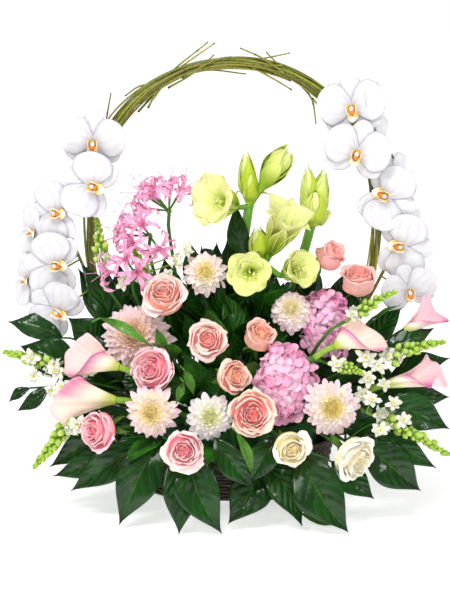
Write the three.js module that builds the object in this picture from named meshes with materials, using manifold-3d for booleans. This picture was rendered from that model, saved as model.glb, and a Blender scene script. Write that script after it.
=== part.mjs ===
// A flower basket arrangement: an oval wicker basket with wet foam, an arch of bound twigs as its handle,
// two orchid sprays on the arch, and roses, dahlias, hydrangeas, nerines, amaryllis, callas and
// snapdragons over a skirt of lobed leaves. Millimetres, +Z up, -Y to the front. The origin is the middle
// of the basket's underside.
import * as THREE from "three";
import { mergeVertices } from "three/addons/utils/BufferGeometryUtils.js";
import Module from "manifold-3d";

const wasm = await Module();
wasm.setup();

// ---- Driving dimensions -------------------------------------------------------------------------

const GAP = 0.4; // air between two pieces that touch
const RAD = Math.PI / 180;

const BASKET = {
  halfLength: 150, halfWidth: 92, height: 88, // outside, at the bottom
  wall: 7, floor: 8, flare: 1.1, // the rim is this much larger than the bottom
  weave: 2.2, stakes: 24, courses: 5,
};
const LINER = {
  inset: BASKET.wall + 0.7, thickness: 1.6, bottom: BASKET.floor + GAP, top: BASKET.height - 4,
};
const FOAM = { inset: 13, bottom: LINER.bottom + LINER.thickness + GAP, top: 112, bevel: 11, sides: 18 };
const HOLE_DEPTH = 45; // how far a stem stands in the foam
const POST_RISE = 10; // how far a post stands out of it

const ARCH = {
  centreHeight: 451, radius: 229, depth: 25, footX: 112, footY: 24, // its middle line
  bundle: 9.5, flutes: 4, steps: 20, twist: 7, // the bundle of twigs
};

// The photograph was taken from in front and a little above. A place read off it is a pixel, across and
// down in its 450 x 600 frame, with a depth y in mm: this is the line of sight through that pixel.
const CAMERA = { distance: 2200, elevation: 12 * RAD, aimX: -13, aimZ: 306, mmPerPixel: 1.6 };

function seen(across, down, y) {
  const pixels = CAMERA.distance / CAMERA.mmPerPixel;
  const ce = Math.cos(CAMERA.elevation);
  const se = Math.sin(CAMERA.elevation);
  const right = (across - 225) / pixels;
  const up = (300 - down) / pixels;
  const reach = (y + CAMERA.distance * ce) / (ce + up * se);
  return new THREE.Vector3(
    CAMERA.aimX + reach * right,
    y,
    CAMERA.aimZ + CAMERA.distance * se + reach * (up * ce - se),
  );
}

// ---- Where everything is ------------------------------------------------------------------------
// Three numbers such as [148, 108, 25] are across and down in pixels and the depth y in mm. A flower has
// such a place for its middle, the way that it faces as turn (degrees to the viewer's right of straight
// ahead) and lift (degrees above level), and its radius in mm.

// Twigs that stray from the bundle: where each leaves it, a point on its way, and its tip.
const LOOSE_TWIGS = [
  [[148, 108, 25], [165, 78, 22], [208, 42, 18]],
  [[152, 100, 26], [175, 72, 30], [215, 43, 32]],
  [[168, 88, 25], [192, 74, 20], [214, 55, 18]],
  [[160, 84, 27], [140, 86, 27], [125, 96, 27]],
  [[215, 66, 26], [255, 60, 32], [290, 53, 36]],
  [[230, 64, 25], [260, 66, 18], [285, 65, 14]],
  [[320, 100, 26], [290, 76, 32], [266, 52, 36]],
  [[250, 66, 24], [272, 78, 16], [292, 90, 12]],
  [[312, 98, 24], [320, 108, 18], [324, 117, 14]],
];

const ROSES = [
  // name, across, down, y, turn, lift, radius, height share, colour
  ["rose_upper_left", 164, 297, -78, -6, 42, 37, 1.0, "blush"],
  ["rose_middle", 208, 341, -120, 0, 26, 31, 1.05, "blush"],
  ["rose_left", 154, 371, -152, -24, 22, 36, 1.0, "pink"],
  ["rose_low_left", 101, 430, -190, -46, 6, 32, 1.15, "pink"],
  ["rose_front_left", 184, 449, -226, 0, 4, 32, 1.0, "pink"],
  ["rose_bud_middle", 259, 338, -108, 20, 52, 27, 1.35, "peach"],
  ["rose_peach", 232, 377, -168, 30, 20, 28, 1.15, "peach"],
  ["rose_front", 252, 414, -206, 4, 18, 35, 1.0, "pink"],
  ["rose_high_right", 328, 257, -26, 58, 40, 27, 1.35, "salmon"],
  ["rose_right", 358, 283, -50, -10, 66, 30, 1.35, "salmon"],
  ["rose_white_front", 290, 448, -222, 14, 0, 29, 1.15, "cream"],
  ["rose_white_right", 352, 456, -206, 40, -16, 36, 1.1, "cream"],
];

const DAHLIAS = [
  // name, across, down, y, turn, lift, radius, petals in a ring, colour
  ["dahlia_upper", 205, 272, -44, 0, 24, 39, 11, "white"],
  ["dahlia_ball", 291, 309, -78, -8, 32, 38, 11, "white"],
  ["dahlia_large", 133, 335, -84, -4, 42, 57, 12, "peach"],
  ["dahlia_left", 151, 413, -196, -2, 8, 47, 11, "pink"],
  ["dahlia_front", 210, 417, -184, 2, 12, 41, 11, "white"],
  ["dahlia_right", 332, 408, -176, 4, 10, 47, 12, "white"],
];

const HYDRANGEAS = [
  // name, across, down, y, turn, lift, half width, half height, florets
  ["hydrangea_front", 286, 382, -132, 6, 12, 48, 60, 20],
  ["hydrangea_back", 326, 324, -58, 14, 20, 44, 56, 16],
];

// Each orchid spray: which side, its root in the foam, its stem, and then each flower's middle (pixels and
// depth), turn, lift, roll and size, where 1 is a flower 100 mm across.
const ORCHIDS = [
  ["orchid_spray_left", [-106, -6],
    [[-158, 2, 220], [-224, 0, 330], [-262, 2, 430], [-258, 4, 500], [-214, 2, 568]], [
    [93, 142, -16, -2, -12, -4, 0.98],
    [91, 186, -34, 4, 2, 68, 1.0],
    [58, 211, -22, -22, 4, 88, 0.95],
    [57, 264, -36, -6, 0, 86, 1.0],
    [57, 311, -50, -8, -6, 54, 0.94],
    [30, 230, 2, -118, 6, 80, 0.86],
    [20, 283, -8, -122, 2, 84, 0.88],
  ]],
  ["orchid_spray_right", [106, -6],
    [[164, 2, 220], [228, 0, 330], [266, 2, 430], [256, 4, 520], [206, 2, 604]], [
    [352, 107, -16, -12, 2, 8, 1.02],
    [357, 153, -34, -8, -2, -14, 1.0],
    [383, 196, -26, -8, 2, -114, 1.0],
    [400, 246, -32, -10, -2, -94, 1.0],
    [409, 291, -42, 8, -10, 16, 0.84],
    [378, 108, -4, 112, 8, -80, 0.86],
    [400, 178, 0, 112, 8, -84, 0.86],
    [420, 236, 0, 116, 4, -84, 0.86],
  ]],
];

const NERINES = [
  // name, hub, then each floret's turn, lift and stalk length
  ["nerine_high", [169, 211, 2],
    [[40, 52, 34], [22, 30, 38], [-52, 48, 38], [-80, 20, 40], [-30, 66, 26], [-115, 40, 36]]],
  ["nerine_middle", [150, 236, -14],
    [[-70, 22, 36], [-100, -6, 34], [-40, -12, 30], [20, -14, 30], [-20, 46, 24]]],
  ["nerine_low", [134, 272, -40], [[-30, 34, 30], [-62, 2, 36], [10, 20, 24]]],
];

// Where each stem stands in the foam (mm), where its top is, its buds as turn, lift, length and radius, and
// the open blooms that it carries.
const AMARYLLIS_STEMS = [
  { name: "amaryllis_high", x: -24, y: 24, top: [249, 206, 20],
    buds: [[-60, 86, 92, 14], [10, 72, 62, 11], [84, 56, 120, 21]], open: ["amaryllis_bloom_high"] },
  { name: "amaryllis_right", x: 44, y: 26, top: [311, 226, 14],
    buds: [[-60, 86, 102, 15], [74, 74, 96, 15], [20, 62, 72, 18], [84, 36, 46, 9]], open: [] },
  { name: "amaryllis_low", x: 12, y: 40, top: [263, 262, -6], buds: [[-80, 80, 62, 17]],
    open: ["amaryllis_bloom_middle", "amaryllis_bloom_front", "amaryllis_bloom_right"] },
];

const AMARYLLIS_BLOOMS = [
  // name, across, down, y of the throat's base, turn, lift, length, mouth radius, openness
  ["amaryllis_bloom_high", 236, 206, -2, -42, 16, 60, 44, 1.0],
  ["amaryllis_bloom_middle", 272, 252, -30, 40, 58, 92, 40, 1.0],
  ["amaryllis_bloom_front", 252, 270, -48, -8, 4, 46, 37, 0.5],
  ["amaryllis_bloom_right", 284, 274, -42, 34, 20, 52, 31, 0.5],
];

const CALLAS = [
  // name, base across, down, y, turn, lift, length, mouth, roll, mirrored
  ["calla_left_high", 122, 367, -132, -72, 16, 86, 1.1, 180, true],
  ["calla_left_low", 117, 398, -147, -72, -4, 112, 1.0, 35, false],
  ["calla_right_inner", 335, 347, -126, 58, 20, 84, 1.0, 0, false],
  ["calla_right_high", 402, 332, -72, 68, 32, 78, 0.85, 0, false],
  ["calla_right_low", 384, 385, -122, 66, 12, 106, 0.95, 0, false],
];
// The rim of a calla at every 45 degrees from its long side: share of the length, and radius.
const CALLA_RIM = [
  [0.84, 30], [0.9, 36], [0.76, 31], [0.46, 19], [0.4, 16], [0.54, 19], [0.84, 30], [1, 40],
];

const SPIKES = [
  // name, base, tip, buds, open florets
  ["snapdragon_left_top", [104, 268, -22], [96, 216, -6], 6, 1],
  ["snapdragon_upper_left", [152, 292, -28], [130, 244, -22], 7, 3],
  ["snapdragon_left", [66, 374, -96], [2, 352, -84], 6, 4],
  ["snapdragon_low_left", [78, 404, -146], [34, 468, -156], 7, 2],
  ["snapdragon_upper_right", [345, 322, -112], [395, 292, -94], 7, 1],
  ["snapdragon_right", [378, 360, -108], [445, 342, -112], 7, 3],
  ["snapdragon_inner_right", [332, 366, -118], [362, 374, -148], 5, 1],
  ["snapdragon_low_right", [366, 412, -146], [448, 455, -170], 7, 4],
];

// Lobed leaves: where the root stands, then each leaf's palm (mm), the way its middle lobe points as turn and
// lift, and that lobe's length.
const FOLIAGE = [
  ["foliage_front", -6, -60, [
    [-86, -150, 108, -38, -26, 134], [4, -166, 100, 1, -28, 124], [90, -150, 108, 38, -26, 134]]],
  ["foliage_left", -106, -34, [
    [-172, -122, 112, -58, -16, 126], [-214, -62, 174, -84, -6, 126], [-234, -46, 246, -92, 18, 112]]],
  ["foliage_right", 106, -34, [
    [172, -124, 110, 56, -18, 132], [214, -66, 146, 82, -4, 128], [214, -28, 232, 92, 12, 110]]],
  ["foliage_back", 0, 62, [
    [-168, 62, 126, -106, -8, 122], [-68, 134, 106, -158, -26, 126], [68, 134, 106, 158, -26, 126],
    [168, 62, 126, 106, -8, 122]]],
  ["foliage_upper", -40, 52, [
    [-112, 66, 250, -150, 62, 110], [0, 74, 300, 180, 74, 104], [112, 66, 246, 150, 62, 110]]],
];
const LEAF = { lobes: 5, spread: 36 * RAD, lobeHalfAngle: 0.3, notch: 0.3, droop: 0.3, thickness: 1.4 };

// Oval leaves among the flowers, by the bunch that bears them: where the stalk ends, turn, lift and length.
const MIDDLE_LEAVES = {
  stems_left: [[-92, -96, 236, -20, 30, 84], [-112, -150, 128, -30, -14, 80], [-64, -12, 292, -110, 56, 78]],
  stems_middle: [
    [-22, -66, 236, -30, 66, 84], [18, -88, 182, 10, 50, 80], [-16, -150, 118, -24, -10, 84],
    [40, -140, 122, 34, -8, 80]],
  stems_right: [[136, -82, 174, 62, 40, 62], [128, -6, 262, 90, 62, 72], [196, -52, 262, 80, 40, 80]],
};

// The three bunches of thin stems: where each stands (mm), and from where to where across (pixels) the
// flowers are that it carries.
const BUNCHES = [
  { name: "stems_left", x: -62, y: -12, from: 0, to: 182 },
  { name: "stems_middle", x: -4, y: -22, from: 182, to: 295 },
  { name: "stems_right", x: 62, y: -12, from: 295, to: 450 },
];

const COLOURS = {
  wicker: 0x4a3424, liner: 0x20241f, foam: 0x2f5a34, twig: 0x8a8c1c, orchid: 0xf6f5f3,
  blush: 0xf4c3bd, pink: 0xf0a7b2, peach: 0xf5b99a, salmon: 0xf2a596,
  cream: 0xf4ecd6, white: 0xf6e9e4, hydrangea: 0xe9a9d0, nerine: 0xe89ac0, amaryllis: 0xd9e37c,
  amaryllisStem: 0x6f9a2f, calla: 0xf0bcc4, spike: 0x9fc049, leaf: 0x1f5a1c, stem: 0x4d7a26,
};

// ---- Geometry helpers ---------------------------------------------------------------------------

const vec = (x, y, z) => new THREE.Vector3(x, y, z);

// The unit vector that a flower faces along: turn from the front towards +X, lift above level.
function facing(turn, lift) {
  const flat = Math.cos(lift * RAD);
  return vec(Math.sin(turn * RAD) * flat, -Math.cos(turn * RAD) * flat, Math.sin(lift * RAD));
}

// A frame with its +Z along axis and its +Y as near to straight up as it can be, turned by roll.
function frameAt(origin, axis, roll = 0) {
  const z = axis.clone().normalize();
  const upright = Math.abs(z.z) > 0.985 ? vec(0, 1, 0) : vec(0, 0, 1);
  const x = upright.clone().cross(z).normalize();
  const y = z.clone().cross(x);
  const turned = new THREE.Matrix4().makeRotationZ(roll * RAD);
  return new THREE.Matrix4().makeBasis(x, y, z).setPosition(origin).multiply(turned);
}

// A closed body through rings of points, each ring anticlockwise about the way the rings run. Rings may
// differ in their number of points, a ring of one point is a pole, and an open end is capped. Between
// rings of one number, each quad is split along its shorter diagonal.
function loft(rings) {
  const faces = [];
  let start = 0;
  for (let k = 0; k + 1 < rings.length; k++) {
    const [near, far] = [rings[k], rings[k + 1]];
    const [m, n] = [near.length, far.length];
    const a = (i) => start + (i % m);
    const b = (j) => start + m + (j % n);
    for (let i = 0, j = 0; i < (m > 1 ? m : 0) || j < (n > 1 ? n : 0); ) {
      const even = m === n && i === j;
      const rising = near[i % m].distanceTo(far[(j + 1) % n]);
      const shorter = even && near[(i + 1) % m].distanceTo(far[j % n]) < rising;
      const onNear = n === 1 || (m > 1 && (even ? shorter : (i + 1) * n <= (j + 1) * m));
      if (onNear) faces.push(a(i), a(++i), b(j));
      else faces.push(a(i), b(j + 1), b(j++));
    }
    start += m;
  }
  for (let i = 1; i + 1 < rings[0].length; i++) faces.push(0, i + 1, i);
  for (let i = 1; i + 1 < rings.at(-1).length; i++) faces.push(start, start + i, start + i + 1);
  return new THREE.BufferGeometry().setFromPoints(rings.flat()).setIndex(faces);
}

// A ring of n points round +Z whose radius and height may depend on the spoke.
function ring(n, radius, height) {
  return Array.from({ length: n }, (_, i) => {
    const angle = (2 * Math.PI * i) / n;
    const r = typeof radius === "function" ? radius(i, angle) : radius;
    const z = typeof height === "function" ? height(i, angle) : height;
    return vec(r * Math.cos(angle), r * Math.sin(angle), z);
  });
}

const pole = (z) => [vec(0, 0, z)];

// A tapering tube along a curve, with flat ends.
function stalk(points, startRadius, endRadius, sides = 4, steps = 3) {
  const curve = new THREE.CatmullRomCurve3(points);
  const frames = curve.computeFrenetFrames(steps);
  const rings = [];
  for (let k = 0; k <= steps; k++) {
    const centre = curve.getPointAt(k / steps);
    const r = startRadius + ((endRadius - startRadius) * k) / steps;
    rings.push(
      Array.from({ length: sides }, (_, i) => {
        const angle = (2 * Math.PI * i) / sides;
        return centre
          .clone()
          .addScaledVector(frames.normals[k], r * Math.cos(angle))
          .addScaledVector(frames.binormals[k], r * Math.sin(angle));
      }),
    );
  }
  return loft(rings);
}

// A thin blade: the same triangles on both faces, offset by the thickness, and a rim round its outline.
function blade(points, triangles, outline, thickness) {
  const n = points.length;
  const under = points.map((p) => p.clone().setZ(p.z - thickness));
  const faces = [];
  for (const [a, b, c] of triangles) faces.push(a, b, c, n + a, n + c, n + b);
  outline.forEach((a, i) => {
    const b = outline[(i + 1) % outline.length];
    faces.push(n + a, n + b, b, n + a, b, a);
  });
  return new THREE.BufferGeometry().setFromPoints([...points, ...under]).setIndex(faces);
}

function solidOf(geometry) {
  const bare = new THREE.BufferGeometry();
  bare.setAttribute("position", geometry.getAttribute("position").clone());
  bare.setIndex(geometry.index);
  const merged = mergeVertices(bare, 1e-4);
  return new wasm.Manifold(
    new wasm.Mesh({
      numProp: 3,
      vertProperties: new Float32Array(merged.attributes.position.array),
      triVerts: new Uint32Array(merged.index.array),
    }),
  );
}

function geometryOf(solid) {
  const mesh = solid.getMesh();
  return new THREE.BufferGeometry()
    .setAttribute("position", new THREE.BufferAttribute(new Float32Array(mesh.vertProperties), 3))
    .setIndex(new THREE.BufferAttribute(new Uint32Array(mesh.triVerts), 1));
}

const fuse = (geometries) => geometries.map(solidOf).reduce((all, one) => all.add(one));

// The largest body of a solid: a cut may leave scraps, which are dropped.
function largest(solid) {
  return solid.decompose().reduce((best, body) => (body.volume() > best.volume() ? body : best));
}

// Repeatable random numbers from 0 to 1.
function randomFrom(seed) {
  let state = seed;
  return () => {
    state = (state * 16807) % 2147483647;
    return state / 2147483647;
  };
}

// ---- The scene graph ----------------------------------------------------------------------------

const arrangement = new THREE.Group();
const blooms = []; // the name of each bloom that a stem carries, where its base is, and its axis

function addMesh(name, geometry, colour, roughness = 0.6) {
  const material = new THREE.MeshStandardMaterial({ color: COLOURS[colour], roughness, metalness: 0 });
  const mesh = new THREE.Mesh(geometry, material);
  mesh.name = name;
  arrangement.add(mesh);
  return mesh;
}

function addPlaced(name, geometry, frame, colour, roughness) {
  const mesh = addMesh(name, geometry, colour, roughness);
  frame.decompose(mesh.position, mesh.quaternion, mesh.scale);
  return mesh;
}

// ---- Basket, liner and foam ---------------------------------------------------------------------

// An oval ring with blunt ends, as a rounded rectangle has. Spoke i stands out further by proud(i).
function ovalRing(n, halfLength, halfWidth, z, proud = () => 0) {
  const blunt = 0.8;
  return Array.from({ length: n }, (_, i) => {
    const angle = (2 * Math.PI * (i + 0.5)) / n;
    const c = Math.cos(angle);
    const s = Math.sin(angle);
    const out = proud(i);
    return vec(
      (halfLength + out) * Math.sign(c) * Math.abs(c) ** blunt,
      (halfWidth + out) * Math.sign(s) * Math.abs(s) ** blunt,
      z,
    );
  });
}

// The inside of the basket's wall grows from its floor to its rim. This is that oval, less an inset.
function insideRing(z, inset) {
  const { halfLength, halfWidth, height, floor, flare, stakes } = BASKET;
  const grow = 1 + ((flare - 1) * (z - floor)) / (height - floor);
  return ovalRing(stakes, halfLength * grow - inset, halfWidth * grow - inset, z);
}

// A cup of woven courses, each of which bulges over every other stake.
function basket() {
  const { halfLength, halfWidth, height, wall, floor, flare, weave, stakes, courses } = BASKET;
  const rings = [pole(0)];
  for (let k = 0; k <= courses; k++) {
    const grow = 1 + ((flare - 1) * k) / courses;
    const proud = (i) => (k === 0 ? 0 : ((i + k) % 2) * weave);
    rings.push(ovalRing(stakes, halfLength * grow, halfWidth * grow, (height * k) / courses, proud));
  }
  rings.push(insideRing(height, wall), insideRing(floor, wall), pole(floor));
  addMesh("basket", loft(rings), "wicker", 0.8);
}

// The waterproof tray that keeps the foam's water off the wicker.
function liner() {
  const { inset, thickness, bottom, top } = LINER;
  const floor = bottom + thickness;
  addMesh("basket_liner", loft([
    pole(bottom),
    insideRing(bottom, inset),
    insideRing(top, inset),
    insideRing(top, inset + thickness),
    insideRing(floor, inset + thickness),
    pole(floor),
  ]), "liner", 0.4);
}

// The hole that a root stands in: its own line, a little wider and deeper.
function hole(root) {
  const far = root.foot.clone().addScaledVector(root.axis, -GAP);
  const mouth = root.foot.clone().addScaledVector(root.axis, root.length + 40);
  const radius = (root.radius + GAP) / Math.cos(Math.PI / 6);
  return solidOf(stalk([far, mouth], radius, radius, 6, 1));
}

function foam(roots) {
  const { inset, bottom, top, bevel, sides } = FOAM;
  const oval = (less, z) => ovalRing(sides, BASKET.halfLength - less, BASKET.halfWidth - less, z);
  let block = solidOf(loft([oval(inset, bottom), oval(inset, top - bevel), oval(inset + bevel, top)]));
  for (const root of roots) block = block.subtract(hole(root));
  addMesh("floral_foam", geometryOf(block), "foam", 0.95);
}

// A post that stands in the foam and leans towards a point, from whose top the stems of a bunch grow.
function rootAt(x, y, radius, towards = vec(x, y, 1000), rise = POST_RISE) {
  const mouth = vec(x, y, FOAM.top);
  const axis = towards.clone().sub(mouth).normalize();
  const foot = mouth.clone().addScaledVector(axis, -HOLE_DEPTH);
  const top = mouth.clone().addScaledVector(axis, rise);
  return { foot, axis, length: HOLE_DEPTH, radius, top };
}

const post = (root) => stalk([root.foot, root.top], root.radius, root.radius, 6, 1);

// ---- Twig arch ----------------------------------------------------------------------------------

const archRoot = (side) =>
  rootAt(side * ARCH.footX, ARCH.footY, ARCH.bundle, vec(side * 176, ARCH.depth, 220));

function archCurve() {
  const { centreHeight, radius, depth } = ARCH;
  const foot = archRoot(1);
  const side = [foot.foot, foot.top, vec(176, depth, 220), vec(222, depth, 330)];
  const round = [];
  for (let angle = 0; angle <= 180; angle += 22.5) {
    round.push(vec(radius * Math.cos(angle * RAD), depth, centreHeight + radius * Math.sin(angle * RAD)));
  }
  const mirrored = side.map((p) => vec(-p.x, p.y, p.z)).reverse();
  return new THREE.CatmullRomCurve3([...side, ...round, ...mirrored]);
}

// The bundle is one fluted, twisted rope of twigs, with loose ends that leave it.
function twigArch() {
  const { bundle, flutes, steps, twist } = ARCH;
  const curve = archCurve();
  const frames = curve.computeFrenetFrames(steps);
  const rings = [];
  for (let k = 0; k <= steps; k++) {
    const share = k / steps;
    const centre = curve.getPointAt(share);
    const swell = bundle * (0.82 + 0.3 * Math.sin(Math.PI * share));
    rings.push(
      Array.from({ length: 2 * flutes }, (_, i) => {
        const angle = (Math.PI * i) / flutes + share * twist;
        const r = swell * (i % 2 ? 0.74 : 1);
        return centre
          .clone()
          .addScaledVector(frames.normals[k], r * Math.cos(angle))
          .addScaledVector(frames.binormals[k], r * Math.sin(angle));
      }),
    );
  }
  const parts = [loft(rings)];
  for (const way of LOOSE_TWIGS) parts.push(stalk(way.map((p) => seen(...p)), 2.0, 1.3, 3, 2));
  addMesh("twig_arch", geometryOf(largest(fuse(parts))), "twig", 0.7);
}

// ---- Roses and dahlias --------------------------------------------------------------------------

// Nested cups of petals that rise in turn. Each petal spans three spokes, from its low overlapped edge
// to its high free one.
function roseGeometry(radius, tall) {
  const n = 12;
  const h = radius * tall;
  const wave = (turn) => (i) => [-1, 0.25, 0.75][(i + turn) % 3];
  const cup = (r, z, turn, spread) =>
    ring(n, (i) => radius * r * (1 + spread * wave(turn)(i)), (i) => h * (z + 0.05 * wave(turn)(i)));
  return loft([
    pole(0),
    ring(n, radius * 0.74, h * 0.36),
    cup(1.0, 0.86, 0, 0.08),
    ring(n, radius * 0.76, h * 0.76),
    cup(0.73, 1.06, 1, 0.07),
    ring(n, radius * 0.5, h * 0.92),
    cup(0.46, 1.16, 2, 0.08),
    pole(h * 0.98),
  ]);
}

// Rings of pointed petals, each ring turned half a petal from the one below it.
function dahliaGeometry(radius, petals) {
  const n = 2 * petals;
  const tips = (parity, tip, gap, zTip, zGap) =>
    ring(n, (i) => radius * (i % 2 === parity ? tip : gap), (i) => radius * (i % 2 === parity ? zTip : zGap));
  return loft([
    pole(0),
    ring(n, radius * 0.26, radius * 0.03),
    tips(0, 1.0, 0.66, 0.2, 0.12),
    tips(1, 0.86, 0.54, 0.42, 0.34),
    tips(0, 0.62, 0.36, 0.6, 0.5),
    tips(1, 0.34, 0.2, 0.66, 0.58),
    pole(radius * 0.5),
  ]);
}

function addBloom(name, geometry, [across, down, y, turn, lift], depth, colour) {
  const axis = facing(turn, lift);
  const base = seen(across, down, y).addScaledVector(axis, -depth / 2);
  addPlaced(name, geometry, frameAt(base, axis), colour);
  blooms.push({ name, axis, base, across });
}

function roses() {
  for (const [name, across, down, y, turn, lift, radius, tall, colour] of ROSES) {
    const depth = radius * tall * 1.16;
    addBloom(name, roseGeometry(radius, tall), [across, down, y, turn, lift], depth, colour);
  }
}

function dahlias() {
  for (const [name, across, down, y, turn, lift, radius, petals, colour] of DAHLIAS) {
    addBloom(name, dahliaGeometry(radius, petals), [across, down, y, turn, lift], radius * 0.66, colour);
  }
}

// ---- Hydrangeas ---------------------------------------------------------------------------------

// Four broad sepals as one shallow cone, whose point is sunk in the head.
function floret(size, spin) {
  const outline = Array.from({ length: 8 }, (_, i) => {
    const angle = (Math.PI * i) / 4 + spin;
    const r = size * (i % 2 ? 0.62 : 1);
    return vec(r * Math.cos(angle), r * Math.sin(angle), i % 2 ? -1.2 : 0.6);
  });
  return loft([pole(-7), outline, pole(-0.6)]);
}

function hydrangeas() {
  for (const [name, across, down, y, turn, lift, halfWidth, halfHeight, count] of HYDRANGEAS) {
    const axis = facing(turn, lift);
    const middle = seen(across, down, y);
    const halfDepth = halfWidth * 0.72;
    const core = new THREE.IcosahedronGeometry(1, 1);
    core.scale((halfWidth - 9) * 0.97, (halfHeight - 9) * 0.97, halfDepth - 9);
    core.deleteAttribute("normal");
    core.deleteAttribute("uv");
    const parts = [mergeVertices(core)];
    const golden = Math.PI * (3 - Math.sqrt(5));
    for (let i = 0; i < count; i++) {
      const z = 1 - (1.45 * (i + 0.5)) / count;
      const flat = Math.sqrt(1 - z * z);
      const out = vec(flat * Math.cos(i * golden), flat * Math.sin(i * golden), z);
      const place = vec(out.x * (halfWidth - 4), out.y * (halfHeight - 4), out.z * (halfDepth - 4));
      const normal = vec(out.x / halfWidth, out.y / halfHeight, out.z / halfDepth).normalize();
      parts.push(floret(14, i * 1.3).applyMatrix4(frameAt(place, normal)));
    }
    parts.push(stalk([vec(0, 0, -halfDepth + 2), vec(0, 0, -halfDepth + 20)], 5, 5, 4, 1));
    const base = middle.clone().addScaledVector(axis, -halfDepth + 2);
    addPlaced(name, geometryOf(largest(fuse(parts))), frameAt(middle, axis), "hydrangea");
    blooms.push({ name, axis, base, across });
  }
}

// ---- Orchids ------------------------------------------------------------------------------------

// A flower 100 mm across, as the reach of each spoke: three sepals behind, two broad petals before them.
// A lip stands out of its middle, longest at the bottom.
const ORCHID_SPOKES = [0, 28, 62, 90, 118, 152, 180, 208, 240, 270, 300, 332];
const ORCHID_SEPALS = [12, 14, 24, 48, 24, 14, 12, 18, 45, 14, 45, 18];
const ORCHID_PETALS = [52, 47, 15, 11, 15, 47, 52, 44, 14, 8, 14, 44];

function orchidGeometry(size) {
  const row = (reach, height) =>
    ORCHID_SPOKES.map((degrees, i) => {
      const r = size * (Array.isArray(reach) ? reach[i] : reach);
      return vec(r * Math.cos(degrees * RAD), r * Math.sin(degrees * RAD), size * height(i));
    });
  const low = (i) => ORCHID_SPOKES[i] > 180;
  return loft([
    pole(-12 * size),
    row(ORCHID_SEPALS, (i) => -2 + ORCHID_SEPALS[i] * 0.03),
    row(ORCHID_PETALS, (i) => 2 + ORCHID_PETALS[i] * (low(i) ? 0.1 : 0.06)),
    row(7, () => 4.5),
    row(ORCHID_SPOKES.map((_, i) => (low(i) ? 11 : 6)), (i) => (low(i) ? 14 : 11)),
    pole(7 * size),
  ]);
}

function orchids() {
  for (const [name, [x, y], way, flowers] of ORCHIDS) {
    const root = ORCHID_ROOTS[name];
    const line = new THREE.CatmullRomCurve3([root.top, ...way.map((p) => vec(...p))]);
    const parts = [post(root), stalk(line.getPoints(9), 3.4, 2.2, 5, 9)];
    for (const [across, down, depth, turn, lift, roll, size] of flowers) {
      const axis = facing(turn, lift);
      const middle = seen(across, down, depth);
      parts.push(orchidGeometry(size).applyMatrix4(frameAt(middle, axis, roll)));
      const nearer = (a, b) => (a.distanceTo(middle) < b.distanceTo(middle) ? a : b);
      const nearest = line.getPoints(40).reduce(nearer);
      const behind = middle.clone().addScaledVector(axis, -9 * size);
      parts.push(stalk([nearest, behind], 1.7, 1.7, 3, 1));
    }
    addMesh(name, geometryOf(largest(fuse(parts))), "orchid", 0.5);
  }
}

const ORCHID_ROOTS = Object.fromEntries(
  ORCHIDS.map(([name, [x, y], way]) => [name, rootAt(x, y, 4, vec(...way[0]))]),
);

// ---- Nerines ------------------------------------------------------------------------------------

// Six narrow tepals that curl back, as one closed star on its stalk, which starts at the origin.
function nerineFloret(stalkLength) {
  const n = 12;
  const star = (tip, gap, zTip, zGap) =>
    ring(n, (i) => (i % 2 ? gap : tip), (i) => stalkLength + (i % 2 ? zGap : zTip));
  return loft([
    ring(3, 1.6, 0),
    ring(3, 1.6, stalkLength),
    star(26, 4.6, 20, 12),
    star(15, 3.6, 29, 14),
    pole(stalkLength + 12),
  ]);
}

function nerines() {
  for (const [name, place, florets] of NERINES) {
    const hub = seen(...place);
    const knob = loft([pole(-5), ring(5, 5, 0), pole(5)]);
    const parts = [knob.translate(hub.x, hub.y, hub.z)];
    for (const [turn, lift, length] of florets) {
      parts.push(nerineFloret(length).applyMatrix4(frameAt(hub, facing(turn, lift), turn * 3)));
    }
    addMesh(name, geometryOf(largest(fuse(parts))), "nerine");
    blooms.push({ name, axis: vec(0, 0, 1), base: hub.clone().setZ(hub.z - 5), across: place[0] });
  }
}

// ---- Amaryllis ----------------------------------------------------------------------------------

function budGeometry(length, radius) {
  const n = 6;
  const side = (r, z) => ring(n, (i) => radius * r * (i % 2 ? 0.9 : 1.05), length * z);
  const foot = ring(n, radius * 0.25, 0);
  return loft([foot, side(0.42, 0.22), side(0.95, 0.52), side(0.85, 0.78), pole(length)]);
}

const AMARYLLIS_ROOTS = Object.fromEntries(
  AMARYLLIS_STEMS.map((stem) => [stem.name, rootAt(stem.x, stem.y, 8.5, seen(...stem.top))]),
);

function amaryllisStems() {
  for (const { name, top: place, buds, open } of AMARYLLIS_STEMS) {
    const root = AMARYLLIS_ROOTS[name];
    const top = seen(...place);
    const parts = [stalk([root.foot, top], root.radius, root.radius * 0.86, 7, 1)];
    for (const [turn, lift, length, radius] of buds) {
      const axis = facing(turn, lift);
      const sunk = top.clone().addScaledVector(axis, -4);
      parts.push(budGeometry(length, radius).applyMatrix4(frameAt(sunk, axis)));
    }
    for (const bloom of blooms.filter((one) => open.includes(one.name))) {
      const end = bloom.base.clone().addScaledVector(bloom.axis, -GAP);
      const behind = end.clone().addScaledVector(bloom.axis, -14);
      const inside = top.clone().addScaledVector(root.axis, -6);
      parts.push(stalk([inside, behind, end], 4, 4, 5, 2));
    }
    addMesh(name, geometryOf(largest(fuse(parts))), "amaryllisStem", 0.5);
  }
}

// A trumpet of six tepals.
function trumpet(length, mouth, openness) {
  const n = 12;
  const lip = (i) => (i % 2 ? 0.74 : 1);
  return loft([
    pole(0),
    ring(n, 5, length * 0.08),
    ring(n, mouth * 0.42, length * 0.5),
    ring(n, (i) => mouth * lip(i) * (0.8 + 0.2 * openness), (i) => length * (i % 2 ? 0.84 : 1)),
    ring(n, mouth * 0.56, length * 0.74),
    ring(n, mouth * 0.22, length * 0.42),
    pole(length * 0.3),
  ]);
}

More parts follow.
